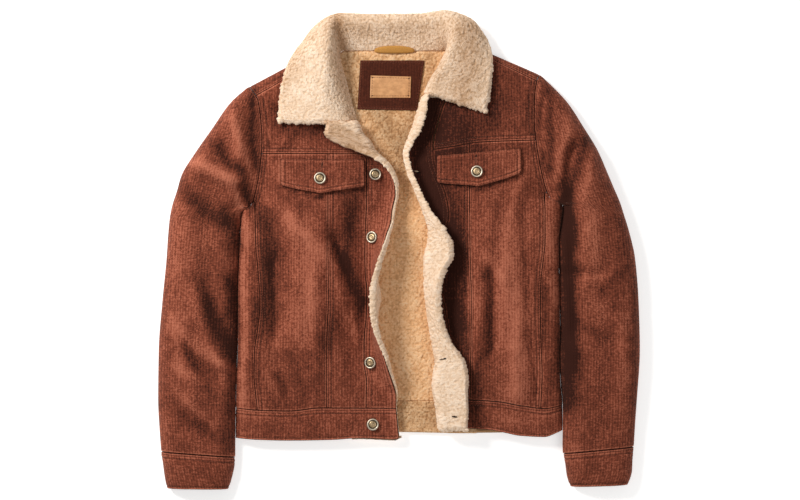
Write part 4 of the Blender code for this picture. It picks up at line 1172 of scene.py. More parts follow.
@dataclass
class Outline:
    """One side of the body in plan: its edge, its seams and the way its front opens."""

    side: Side
    edge: Table
    armpit_y: float
    side_seam: Table
    centre_seam: Table
    hem: Table
    band_seam: Table
    yoke_seam: Table
    shoulder_seam: Table
    shoulder_fold: Table
    lapel_top: float
    neck_x: float
    opening: Table
    chest: Table
    flap_top: Table
    flap_point: Table
    pocket_button: tuple[float, float]
    holes: Sequence[Hole] = ()

    def above_armpit(self, y: Grid) -> Grid:
        """Return 1 at the armhole and 0 beside the side seam."""
        return ease((y - self.armpit_y) / (3 * SHAPE.armpit_end))

    def fold_line(self, x: Grid | float) -> Grid:
        """Return y of the shoulder's fold at x, carried on past its ends."""
        (x0, y0), (x1, y1) = self.shoulder_fold.rows
        return y0 + (y1 - y0) / (x1 - x0) * (x - x0)

    def from_shoulder(self, x: Grid, y: Grid) -> Grid:
        """Return the distance from places to the shoulder's fold."""
        slope = self.fold_line(1.0) - self.fold_line(0.0)
        return (self.fold_line(x) - y) / math.hypot(1, slope)


OUTLINES = {
    Side.LEFT: Outline(
        side=Side.LEFT, armpit_y=63.0, lapel_top=209.0, neck_x=-136.0, pocket_button=(-130, 118),
        edge=Table("y x", [
            (-315, -270), (-262, -269.5), (-215, -268.5), (-149, -266), (-80, -266), (-8, -264),
            (40, -261.5), (63, -260), (70, -250), (78, -242), (99, -236), (124, -231), (149, -228),
            (182, -226), (215, -228), (248, -233), (262, -241), (274, -250)]),
        side_seam=Table("y x", [
            (-262, -234), (-206, -239), (-165, -238), (-132, -233), (-91, -229), (-25, -233),
            (8, -236), (41, -237), (77, -238)]),
        centre_seam=Table("y x", [(-262, -120), (-149, -119), (-83, -116), (91, -117), (160, -117)]),
        hem=Table("x y", [(-270, -311), (-229, -314), (-180, -315), (-114, -314), (-64, -311),
                          (-7, -313), (2, -309)]),
        band_seam=Table("x y", [(-270, -261), (-229, -265), (-180, -266), (-130, -261), (0, -262)]),
        yoke_seam=Table("x y", [(-240, 159), (-20, 159)]),
        shoulder_seam=Table("x y", [(-250, 247), (-120, 322)]),
        shoulder_fold=Table("x y", [(-250, 269), (-120, 338.4)]),
        opening=Table("y x z turn arc straight seam", [
            (-313, -18, 20.5, 0, 14, 4, -34), (-262, -20, 19.5, 4, 12, 3, -34),
            (-239, -29, 19.2, 18, 16, 8, -25), (-211, -46, 18.8, 38, 18, 19, -8),
            (-182, -54.6, 18.8, 55, 19.7, 25, -3), (-157, -54.5, 18.8, 70, 16, 26, -3),
            (-140, -53.8, 18.8, 80, 14, 28, -3), (-119, -51.8, 18.8, 90, 13, 29, -3),
            (-100, -48.8, 18.8, 98, 12, 30, -5), (-81, -45.2, 18.8, 104, 12, 30, -8),
            (-62, -48.2, 18.8, 99, 12, 30, -5), (-41, -52.6, 18.8, 86, 13, 29, -3),
            (-8, -53.2, 18.8, 70, 15, 27, -3), (25, -52.5, 18.8, 52, 18.6, 24, -3),
            (57, -45.4, 18.8, 27, 18, 17, -9), (74, -32.4, 18.8, 32, 16, 8, -21),
            (91, -24.4, 18.8, 48, 17, 3, -29.5), (107, -23.6, 18.8, 60, 17, 3, -30),
            (124, -26.5, 18.8, 74, 16.5, 3.5, -27), (140, -35.5, 18.8, 88, 16.5, 5.5, -18),
            (152, -46.5, 19.2, 112, 17, 9, -8), (160, -53.8, 19.4, 140, 17.6, 15, -6),
            (172, -59, 19.6, 162, 18, 35, -7), (188, -73, 19.6, 168, 18, 46, -8),
            (209, -82, 19.6, 168, 18, 37, -30), (235, -118, 24, 168, 18, 37, -6),
            (340, -118, 24, 168, 18, 37, -6)]),
        chest=Table("y z", [(-315, 22), (-262, 25), (-200, 34), (-80, 38), (60, 36), (160, 31),
                            (240, 28), (340, 27)]),
        flap_top=Table("x y", [(-195, 150), (-58, 149)]),
        flap_point=Table("x y", [
            (-195, 107), (-188, 104), (-134, 93.6), (-130, 92.8), (-126, 93.5), (-58, 104.5)]),
        holes=[Hole("flap", (-126.0, 144.5, -127.5, 137.5), 2.2, whipped=(-125.6, 147, -128.6, 131))]),
    Side.RIGHT: Outline(
        side=Side.RIGHT, armpit_y=76.0, lapel_top=252.0, neck_x=143.0, pocket_button=(129, 129),
        edge=Table("y x", [
            (-310, 270), (-250, 270), (-225, 267), (-165, 264.5), (-132, 266), (-83, 265),
            (17, 264), (50, 268), (74, 271), (80, 262), (87, 249), (116, 238), (149, 231),
            (182, 226), (215, 223), (256, 224), (281, 228), (294, 235)]),
        side_seam=Table("y x", [
            (-262, 234), (-206, 236), (-149, 234), (-99, 233), (-50, 234), (-17, 238), (17, 241),
            (58, 241), (92, 240)]),
        centre_seam=Table("y x", [(-262, 117), (-83, 119), (0, 117), (99, 116), (185, 116)]),
        hem=Table("x y", [(50, -298), (112, -295), (150, -297), (175, -302), (200, -307),
                          (241, -309), (257, -304), (271, -298)]),
        band_seam=Table("x y", [(50, -252), (117, -248), (167, -251), (200, -257), (241, -262),
                                (270, -256)]),
        yoke_seam=Table("x y", [(10, 160), (84, 170), (134, 178), (240, 182)]),
        shoulder_seam=Table("x y", [(100, 343), (240, 273)]),
        shoulder_fold=Table("x y", [(95, 350.4), (240, 287)]),
        opening=Table("y x z turn arc straight seam", [
            (-300, 79, 19.5, 168, 17.6, 33, -3), (-264, 75, 18.8, 168, 17.6, 40, -3),
            (-223, 69, 18.8, 168, 17.6, 43, -3), (-185, 73, 18.8, 165, 17.6, 34, -4),
            (-140, 66, 18.8, 150, 15.7, 15, -17), (-102, 60, 18.8, 130, 13.6, 17, -17),
            (-66, 56, 18.8, 130, 13.6, 22, -12), (-33, 55, 18.8, 145, 15.2, 27, -6),
            (-13, 55, 18.8, 155, 16.2, 35, -3), (12, 61, 18.8, 150, 15.7, 29, -5),
            (33, 62, 18.8, 140, 14.7, 19.5, -14), (66, 53, 18.8, 115, 12.6, 6.4, -29),
            (100, 42, 18.8, 88, 12, 4, -32), (132, 29, 18.8, 85, 12, 4, -32),
            (157, 24, 18.8, 88, 12, 4, -32), (177, 28, 19.2, 100, 12, 8, -28),
            (198, 36, 19.6, 112, 12, 12, -24), (228, 45, 19.6, 112, 12, 12, -24),
            (252, 55, 19.6, 100, 12, 8, -24), (262, 84, 24, 100, 12, 8, -6),
            (350, 96, 24, 100, 12, 8, -6)]),
        chest=Table("y z", [(-310, 23), (-262, 25), (-200, 33), (-80, 36), (60, 36), (160, 32),
                            (240, 28), (350, 27)]),
        flap_top=Table("x y", [(63, 156), (201, 168)]),
        flap_point=Table("x y", [
            (63, 113), (68, 111), (126, 105), (130, 104.3), (134, 105.3), (192, 123), (201, 128)]),
        holes=[Hole("flap", (127.4, 157.5, 126.8, 152.5), 2.4, whipped=(127.6, 158.5, 126.2, 141)),
               Hole("placket", (26, 128, 36, 128.5), 2.6),
               Hole("placket", (25, 130.5, 33, 129.5), 3.4, Mark.TUFT),
               Hole("facing", (66, -181, 76, -178.5), 1.3), Hole("facing", (73, -179.5, 77.5, -178), 2.6),
               Hole("facing", (87, -274, 96, -274.5), 2.8)]),
}


@dataclass
class Rows:
    """Rows of points between pairs of borders, from the hem up."""

    spans: list[tuple[Table, Table, Grid]]
    first: float = SEAM_GAP / 2
    last: float = SEAM_GAP / 2

    @property
    def count(self) -> int:
        """The number of rows."""
        return sum(len(shares) for _, _, shares in self.spans)

    def y(self, x: Grid) -> Grid:
        """Return y of each row at its own x values."""
        parts, start = [], 0
        for lower, upper, shares in self.spans:
            at = x[start:start + len(shares)]
            t = shares[:, None]
            parts.append(lower.at(at) * (1 - t) + upper.at(at) * t)
            start += len(shares)
        y = np.vstack(parts)
        y[0] += self.first
        y[-1] -= self.last
        return y


def level(y: float) -> Table:
    """Return a border at one y."""
    return Table("x y", [(-400, y), (400, y)])


FINE = (0, 0.5, 1.2, 2.0, 3.0, 4.2, 5.6, 7.0, 8.2, 9.6, 11.5)
EDGE = (0, 0.5, 1.2, 2.2, 3.6)
ROLL = (0, 0.3, 0.8, 1.6, 2.8, 4.4, 6.5, 9, 12, 15.5, 20)


@dataclass
class Front:
    """One front: its panels, placket, band, yoke, shoulder, facing and pocket flap."""

    outline: Outline
    step: float = 6.0
    facing_reach: float = 24.0
    facing_proud: float = 3.0
    facing_proud_hem: float = 0.5
    facing_step: float = 1.9
    facing_row_step: float = 3.0
    facing_turn: tuple[float, float] = (0.6, 2.2)
    # A band of painted shade on the facing's pile near the lapel: x0, y0, x1, y1, width, amount.
    facing_dimmed: Sequence[tuple[float, ...]] = ((-68, 120, -40, 100, 12, -0.65),)
    lapel_tuck: float = 16.0
    band_raised: float = 1.5
    flap_lift: float = 0.8
    flap_wall: float = 2.6

    @property
    def heading(self) -> int:
        """The sign of X towards the opening."""
        return -self.outline.side.value

    def cloth(self, x: Grid, y: Grid) -> Grid:
        """Return the length of cloth past the start of the roll, at places on the flat part."""
        return self.heading * (x - self.outline.opening.at(y, "x"))

    def free_edge(self, y: Grid) -> Grid:
        """Return c at the free edge."""
        return self.outline.opening.at(y, "arc") + self.outline.opening.at(y, "straight")

    def placket_seam(self, y: Grid) -> Grid:
        """Return c at the placket's seam."""
        return self.outline.opening.at(y, "seam")

    def facing_edge(self, y: Grid) -> Grid:
        """Return c at the facing's inner edge."""
        return self.placket_seam(y) - self.facing_reach

    def outer_edge(self, y: Grid) -> Grid:
        """Return c at the side seam or the armhole."""
        return self.cloth(self.outline.edge.at(y), y)

    def side_seam(self, y: Grid) -> Grid:
        """Return c at the side panel's seam, or at the armhole above it."""
        seam = self.outline.side_seam
        x = np.where(y < seam.key[-1] + 3, seam.at(y), self.outline.edge.at(y))
        return self.cloth(x, y)

    def centre_seam(self, y: Grid) -> Grid:
        """Return c at the seam below the pocket."""
        return self.cloth(self.outline.centre_seam.at(y), y)

    def height(self, x: Grid, y: Grid) -> Grid:
        """Return the height of the flat part at places."""
        outline, side = self.outline, self.outline.side.value
        rise = outline.chest.at(y) + SHAPE.folded(x, y)
        base = outline.opening.at(y, "z")
        from_roll = side * (x - outline.opening.at(y, "x"))
        z = base + (rise - base) * ease(from_roll / SHAPE.opening_slope)
        seam = SHAPE.armhole_rise.at(y - outline.armpit_y)
        soft = outline.above_armpit(y)
        from_edge = side * (outline.edge.at(y) - x)
        shape = (1 - soft) * dome(from_edge / SHAPE.side_roll)
        shape = shape + soft * ease(from_edge / SHAPE.armhole_dip)
        z = seam + (z - seam) * shape
        low = SHAPE.side_seam_z + SEAM_GAP
        return low + (z - low) * dome(outline.from_shoulder(x, y) / SHAPE.shoulder_roll)

    def point(self, c: Grid, y: Grid) -> Grid:
        """Return points on the outer face, by length of cloth and y."""
        opening = self.outline.opening
        start = opening.at(y, "x")
        turn = np.radians(opening.at(y, "turn"))
        turn = np.where(np.abs(turn) < 0.001, 0.001, turn)
        arc = opening.at(y, "arc")
        past = np.maximum(c, 0)
        angle = turn * np.minimum(past / arc, 1)
        straight = np.maximum(past - arc, 0)
        forward = arc / turn * np.sin(angle) + straight * np.cos(turn) + np.minimum(c, 0)
        up = arc / turn * (1 - np.cos(angle)) + straight * np.sin(turn)
        flat = self.height(start + self.heading * np.minimum(c, 0), y)
        x = start + self.heading * forward
        return np.stack([x, y + 0 * x, flat + up], -1)

    def grid(self, guides: Sequence[Guide], steps: Sequence[Grid], rows: Rows,
             trim: tuple[float, float] = (SEAM_GAP / 2, SEAM_GAP / 2)) -> tuple[Grid, Grid]:
        """Lay out a piece's points.

        Args:
            guides: Lines that the columns follow, as c at y.
            steps: For each pair of guides, the columns' shares of the way between them.
            rows: The rows.
            trim: How far the first and last columns are drawn in.

        Returns:
            c and y of each point.
        """
        shares = [(k, t) for k, stretch in enumerate(steps) for t in stretch[:-1]]
        shares.append((len(steps) - 1, 1.0))
        y = rows.y(np.zeros((rows.count, len(shares))))
        c = np.zeros_like(y)
        for _ in range(8):
            lines = [guide(y) for guide in guides]
            lines[0] = lines[0] + trim[0]
            lines[-1] = lines[-1] - trim[1]
            for i, (k, t) in enumerate(shares):
                c[:, i] = lines[k][:, i] * (1 - t) + lines[k + 1][:, i] * t
            y = rows.y(self.point(c, y)[..., 0])
        return c, y

    def piece(self, name: str, places: tuple[Grid, Grid], **sizes: object) -> Cloth:
        """Return a piece of this front's corduroy, laid out by grid()."""
        c, y = places
        sizes.setdefault("wall", SHAPE.corduroy)
        sizes.setdefault("finish", Corduroy())
        seed = 7 * len(name) + 3 * self.outline.side.value + 30
        sizes.setdefault("shade", self.shade(c, y))
        across = c + self.heading * self.outline.opening.at(y, "x")
        return Cloth(f"{name}_{self.outline.side.label}", self.point(c, y), sign=self.heading,
                     across=across, along=y, seed=seed, **sizes)

    def shade(self, c: Grid, y: Grid) -> Grid:
        """Return the painted shade and painted highlight beside the opening and the armhole."""
        from_edge = self.outer_edge(y) - c
        soft = self.outline.above_armpit(y)
        # Painted shade along the armhole's edge, painted highlight on the roll beside the side seam.
        shade = -0.45 * soft * bell(from_edge + 2, 7) + 0.25 * (1 - soft) * bell(np.abs(from_edge) - 11, 6)
        if self.outline.side is Side.RIGHT:
            # Painted shadow beside the right front's raised edge.
            return shade - 0.35 * ease((c + 50) / 40)
        # Painted highlight on the left placket's standing strip, which faces the light.
        return shade + 0.45 * ease((c + 6) / 20) * ease((120 - y) / 30)

    def bulge(self, c: Grid, y: Grid) -> Grid:
        """Return how far the side swells over the sleeve."""
        from_edge = np.abs(self.outer_edge(y) - c)
        return 3.2 * dome(from_edge / 6) * (1 - ease((from_edge - 8) / 20)) * (
            1 - ease((y - self.outline.armpit_y - 8) / 20))

    @property
    def hem_turn(self) -> float:
        """How far the facing's pile turns at the hem; the band covers the left one's end."""
        return self.facing_turn[0] if self.outline.side is Side.LEFT else math.pi

    def pieces(self) -> dict[str, Cloth]:
        """Return the front's pieces, by the names of their nodes without the side."""
        o, step = self.outline, self.step
        seam, free, reach = self.placket_seam, self.free_edge, self.facing_edge
        roll_steps = [spread(20, 3, FINE), spread(16, 1.6), spread(26, 2.2, (), EDGE)]
        roll = (seam, lambda y: 0 * y, lambda y: o.opening.at(y, "arc"), free)
        body = spread(420, step, FINE, FINE)
        rows = Rows([(o.band_seam, o.yoke_seam, body)])
        lapel = (o.yoke_seam, level(o.lapel_top), spread(60, 4, (), EDGE)[1:])
        band = (o.hem, o.band_seam, spread(48, 4, EDGE, FINE))
        yoke = Rows([(o.yoke_seam, o.shoulder_seam, spread(130, step, FINE, FINE))])
        shoulder = Rows([(o.shoulder_seam, o.shoulder_fold, spread(15, 2.5, EDGE, ROLL[:5]))], last=0)
        first, last = Border.FIRST_COLUMN, Border.LAST_COLUMN
        low, high = Border.FIRST_ROW, Border.LAST_ROW

        def yoke_end(y: Grid) -> Grid:
            """Return c where the yoke ends, drawn back below a lapel."""
            tuck = self.lapel_tuck if o.side is Side.LEFT else 0.0
            return seam(y) - tuck * ease((y - o.yoke_seam.at(0.0) - 3) / 22)

        x = 240.0 * o.side.value
        top = (o.side_seam.key[-1] + 3 - o.band_seam.at(x)) / (o.yoke_seam.at(x) - o.band_seam.at(x))
        side_body = np.append(body[body < top - 0.002], top - 0.001)
        side_rows = Rows([(o.band_seam, o.yoke_seam, side_body)], last=0)
        middle_body = np.unique(np.append(body, (top - 0.001, top + 0.001)))
        middle_rows = Rows([(o.band_seam, o.yoke_seam, middle_body)])
        side = self.grid((self.outer_edge, self.side_seam), (spread(34, 4, ROLL, FINE),), side_rows)
        made = {
            "side_panel": self.piece("side_panel", side, lift=self.bulge(*side),
                                     seams=[Seam(last, 2.2, 0.3)]),
            "middle_panel": self.piece("middle_panel", self.grid(
                (self.side_seam, self.centre_seam), (spread(118, step, FINE, FINE),), middle_rows),
                seams=[*rows_of([first], TWIN), Seam(last, TWIN[0])]),
            "centre_panel": self.piece("centre_panel", self.grid(
                (self.centre_seam, reach, seam), (spread(40, step, FINE), spread(24, 4, (), FINE)), rows),
                seams=rows_of([first], TWIN)),
            "placket": self.piece("placket", self.grid(roll, roll_steps, Rows([*rows.spans, lapel])),
                                  seams=[*rows_of([first], TWIN, end=0.86), Seam(last, 6.0)]),
            "band": self.piece("band", self.grid(
                (self.outer_edge, self.side_seam, self.centre_seam, reach, *roll),
                (spread(34, 4, ROLL), spread(118, step), spread(40, step), spread(24, step), *roll_steps),
                Rows([band], first=0)), lift=self.band_raised, wall=self.band_raised + SHAPE.corduroy,
                seams=[*rows_of([high], TWIN), Seam(low, 4.5)]),
            "yoke": self.piece("yoke", self.grid(
                (self.outer_edge, yoke_end), (spread(185, step, FINE, FINE),), yoke, (SEAM_GAP / 2, 1.0)),
                seams=[*rows_of([low], TWIN), *rows_of([first], (2.2, 9.0), dip=0.5)]),
            "shoulder": self.piece("shoulder", self.grid(
                (self.outer_edge, lambda y: self.cloth(o.neck_x, y)), (spread(105, step, EDGE, EDGE),),
                shoulder), seams=[Seam(low, 2.8), Seam(low, 9.0)]),
        }

        def proud(y: Grid) -> Grid:
            """Return c at the facing's outer edge, level with the cloth at the hem."""
            above_hem = ease((y - o.band_seam.at(0.0)) / 50)
            return free(y) + self.facing_proud_hem + (self.facing_proud - self.facing_proud_hem) * above_hem

        facing = (reach, *roll, proud)
        fine, row_step = self.facing_step, self.facing_row_step
        c, y = self.grid(facing, (spread(24, fine), spread(20, fine), spread(16, 1.4), spread(26, fine),
                                  np.array([0.0, 0.5, 1.0])),
                         Rows([band[:2] + (spread(48, row_step),),
                               (o.band_seam, o.yoke_seam, spread(420, row_step)[1:]),
                               lapel[:2] + (spread(60, row_step)[1:],)], first=0, last=0))
        deeper = 0.8 * ease((y - o.yoke_seam.at(0.0) + 12) / 10)
        made["facing"] = self.piece("facing", (c, y), finish=Sherpa(), wall=SHAPE.sherpa - 1.2,
                                    lift=-SHAPE.corduroy - SEAM_GAP - deeper, rim=2.0,
                                    pillow=0.0, pile=2.4, pile_inside=True, pile_turn=self.facing_turn,
                                    pile_turn_rows=(self.hem_turn, math.pi),
                                    fringe=3.6, dimmed=self.facing_dimmed)
        ends = o.flap_top.rows[[0, -1], 0]
        columns = [ends[0], o.pocket_button[0], ends[1]][::-o.side.value]
        guides = [lambda y, x=x: self.cloth(x, y) for x in columns]
        c, y = self.grid(guides, (spread(66, 4, FINE), spread(70, 4, (), FINE)),
                         Rows([(o.flap_point, o.flap_top, spread(48, 4, FINE, FINE))],
                              first=0, last=0), (0, 0))
        from_side = np.minimum(c - c[:, :1], c[:, -1:] - c) * np.sign(c[:, -1:] - c[:, :1])
        curl = 1.3 * np.maximum(bell(y - y[:1], 11), bell(np.abs(from_side), 8)) * ease((y[-1:] - y) / 12)
        # The flap takes a smaller share of the body's painted light, with painted highlight along its sides.
        made["flap"] = self.piece("flap", (c, y), wall=self.flap_wall, rim=0.9, pillow=0.15, nap=0.35,
                                  lift=self.flap_lift + self.flap_wall + SEAM_GAP + curl,
                                  shade=0.35 * bell(np.abs(from_side) - 2, 2.5),
                                  seams=[*rows_of((low, first, last), FLAP_TWIN), Seam(high, FLAP_TWIN[0])])
        return made

    def build(self, finishes: Finishes) -> None:
        """Make the front's pieces and the stitching on them."""
        stitching = Stitching(f"stitching_front_{self.outline.side.label}")
        pieces = self.pieces()
        Holes(f"buttonhole_{self.outline.side.label}", self.outline.holes).build(pieces, finishes)
        for name, cloth in pieces.items():
            under = "back_lining" if name != "flap" else f"middle_panel_{self.outline.side.label}"
            cloth.build(finishes, [under])
            if name != "side_panel":
                stitching.add(cloth)
        stitching.build(finishes)


# ---------------------------------------------------------------- sleeves

@dataclass
class Sleeve:
    """One sleeve, in sections from its inner line to its outer one, and its cuff."""

    front: Front
    table: Table
    cuff: Table
    tip_gap: float = 2.5
    wall: float = 2.5
    cuff_wall: float = 4.0
    cuff_roll: float = 32.0
    step: float = 6.0

    @property
    def side(self) -> int:
        """The sign of X."""
        return self.front.outline.side.value

    def ends(self, key: Grid) -> tuple[tuple[Grid, Grid], tuple[Grid, Grid]]:
        """Return the inner and outer ends of the sections, by the inner ends' y."""
        inner = self.front.outline.edge.at(key) + self.side * SEAM_GAP
        return (inner, key), (self.table.at(key, "outer_x"), self.table.at(key, "outer_y"))

    def plan(self, u: Grid, key: Grid) -> tuple[Grid, Grid, Grid]:
        """Return x and y of points a share u of the way out, and the section's width."""
        (x0, y0), (x1, y1) = self.ends(key)
        return x0 * (1 - u) + x1 * u, y0 * (1 - u) + y1 * u, np.hypot(x1 - x0, y1 - y0)

    def top(self, u: Grid, key: Grid) -> Grid:
        """Return points on the upper face."""
        x, y, width = self.plan(u, key)
        (_, y0), _ = self.ends(key)
        soft = self.front.outline.above_armpit(key)
        seam = self.front.height(self.front.outline.edge.at(y0), y0)
        near = np.minimum(SHAPE.armhole_dip, width * 0.5)
        roll = np.minimum(SHAPE.side_roll, width * 0.5)
        shape = (1 - soft) * dome(u * width / roll) + soft * ease(u * width / near)
        z = seam + (self.table.at(key, "height") + SHAPE.folded(x, y) - seam) * shape
        low = SHAPE.side_seam_z + SEAM_GAP
        return np.stack([x, y, low + (z - low) * dome((1 - u) * width / roll)], -1)

    def head(self, from_edge: Grid, key: Grid) -> Grid:
        """Return how far the sleeve swells over the body at the armpit."""
        near = bell(key - self.front.outline.armpit_y - 8, 18)
        return 2.6 * near * dome(from_edge / 6) * (1 - ease((from_edge - 8) / 20))

    def under(self, u: Grid, key: Grid) -> Grid:
        """Return points on the lower face."""
        x, y, width = self.plan(u, key)
        low = SHAPE.side_seam_z - SEAM_GAP
        roll = np.minimum(SHAPE.under_roll, width * 0.3)
        z = low * (1 - dome(u * width / roll)) * (1 - self.front.outline.above_armpit(key))
        return np.stack([x, y, np.maximum(z, low * (1 - dome((1 - u) * width / roll)))], -1)

    def build(self, finishes: Finishes) -> None:
        """Make the sleeve's pieces."""
        label = self.front.outline.side.label
        lowest, highest = self.table.key[[0, -1]]
        keys = lowest + (highest - self.tip_gap - lowest) * spread(620, self.step, FINE, EDGE)
        armpit = self.front.outline.armpit_y + np.array([-8, -4, -1, 2, 4.9, 5.1, 7, 9, 12, 15])
        keys = np.unique(np.append(keys, armpit))[:, None]
        u = spread(125, self.step, ROLL, ROLL)[None, :] + 0 * keys
        width = self.plan(u, keys)[2]
        first, low, high = Border.FIRST_COLUMN, Border.FIRST_ROW, Border.LAST_ROW
        cap = Seam(first, 2.2, 0.5, start=0.62)
        upper = Cloth(f"sleeve_upper_{label}", self.top(u, keys), Corduroy(), self.wall, self.side,
                      across=(u - 0.5) * width, along=keys + 0 * u, seed=71 + self.side, seams=[cap],
                      lift=self.head(u * width, keys))
        upper.build(finishes, [f"sleeve_under_{label}"])
        u = spread(125, 12, (0, 1, 3, 6, 9), (0, 1, 3, 6, 9))[None, :] + 0 * keys
        under = Cloth(f"sleeve_under_{label}", self.under(u, keys), Corduroy(), self.wall, -self.side,
                      across=(u - 0.5) * width, along=keys + 0 * u, seed=75 + self.side)
        under.build(finishes)
        cuff = Cloth(f"cuff_{label}", self.cuff_ring(), Corduroy(), self.cuff_wall, 1, ring=True,
                     seams=[*rows_of([low], TWIN), Seam(high, 4.0)], seed=79 + self.side)
        if cuff.normals[0, cuff.points.shape[1] // 4, 2] < 0:
            cuff = Cloth(cuff.name, cuff.points, Corduroy(), self.cuff_wall, -1, ring=True,
                         seams=cuff.seams, seed=cuff.seed)
        cuff.build(finishes)
        stitching = Stitching(f"stitching_sleeve_{label}")
        stitching.add(upper)
        stitching.add(cuff)
        stitching.build(finishes)

    def cuff_ring(self) -> Grid:
        """Return the points of the cuff, round from its inner side over the top."""
        along = spread(60, 4, FINE, EDGE)[:, None]
        inner = np.stack([self.cuff.at(along, "inner_x"), self.cuff.at(along, "inner_y")], -1)
        outer = np.stack([self.cuff.at(along, "outer_x"), self.cuff.at(along, "outer_y")], -1)
        width = np.linalg.norm(outer - inner, axis=-1)
        height = self.cuff.at(along, "height")
        middle = SHAPE.side_seam_z
        u = spread(118, 5, ROLL, ROLL)
        z = middle + (height - middle) * dome(np.minimum(u, 1 - u) * width / self.cuff_roll)
        top = np.concatenate([inner + (outer - inner) * u[:, None], z[..., None]], -1)
        u = spread(118, 10, (0, 1, 2.5, 4.5, 7, 9), (0, 1, 2.5, 4.5, 7, 9))[-2:0:-1]
        z = middle * (1 - dome(np.minimum(u, 1 - u) * width / SHAPE.under_roll))
        under = np.concatenate([inner + (outer - inner) * u[:, None], z[..., None]], -1)
        return np.concatenate([top, under], 1)


SLEEVES = {
    Side.LEFT: Table("inner_y outer_x outer_y height", [
        (-342, -394, -333, 33), (-300, -396.5, -298, 35), (-248, -399, -248, 38),
        (-165, -398, -165, 40), (-83, -392, -86, 42), (-8, -385, -14, 43), (33, -382.5, 23, 44),
        (63, -380, 50, 44), (85, -376, 72, 44), (118, -368, 97, 44), (149, -360, 124, 43),
        (190, -336, 163, 41), (225, -308, 203, 38), (252, -280, 243, 32), (262, -263, 259, 24),
        (273, -247, 272, 11)]),
    Side.RIGHT: Table("inner_y outer_x outer_y height", [
        (-336, 389, -325, 33), (-290, 391.5, -283, 35), (-248, 394, -248, 38),
        (-165, 399, -165, 40), (-83, 397, -88, 42), (-8, 391, -14, 43), (45, 381, 31, 44),
        (76, 373, 57, 44), (95, 366, 79, 44), (120, 357, 100, 44), (149, 346, 126, 43),
        (190, 329, 165, 41), (225, 306, 203, 38), (256, 280, 243, 33), (275, 260, 265, 26),
        (293, 233, 291, 11)]),
}
CUFFS = {
    Side.LEFT: Table("along inner_x inner_y outer_x outer_y height", [
        (0, -271, -343, -394, -334, 33), (0.35, -272.5, -358, -391, -354, 33),
        (0.7, -277, -378, -388, -376, 31), (1, -282, -396, -384, -395, 29)]),
    Side.RIGHT: Table("along inner_x inner_y outer_x outer_y height", [
        (0, 272, -337, 389, -326, 33), (0.35, 275, -352, 387, -345, 33),
        (0.7, 278, -374, 386, -366, 31), (1, 284, -392, 379, -389, 29)]),
}


# ---------------------------------------------------------------- back and lining

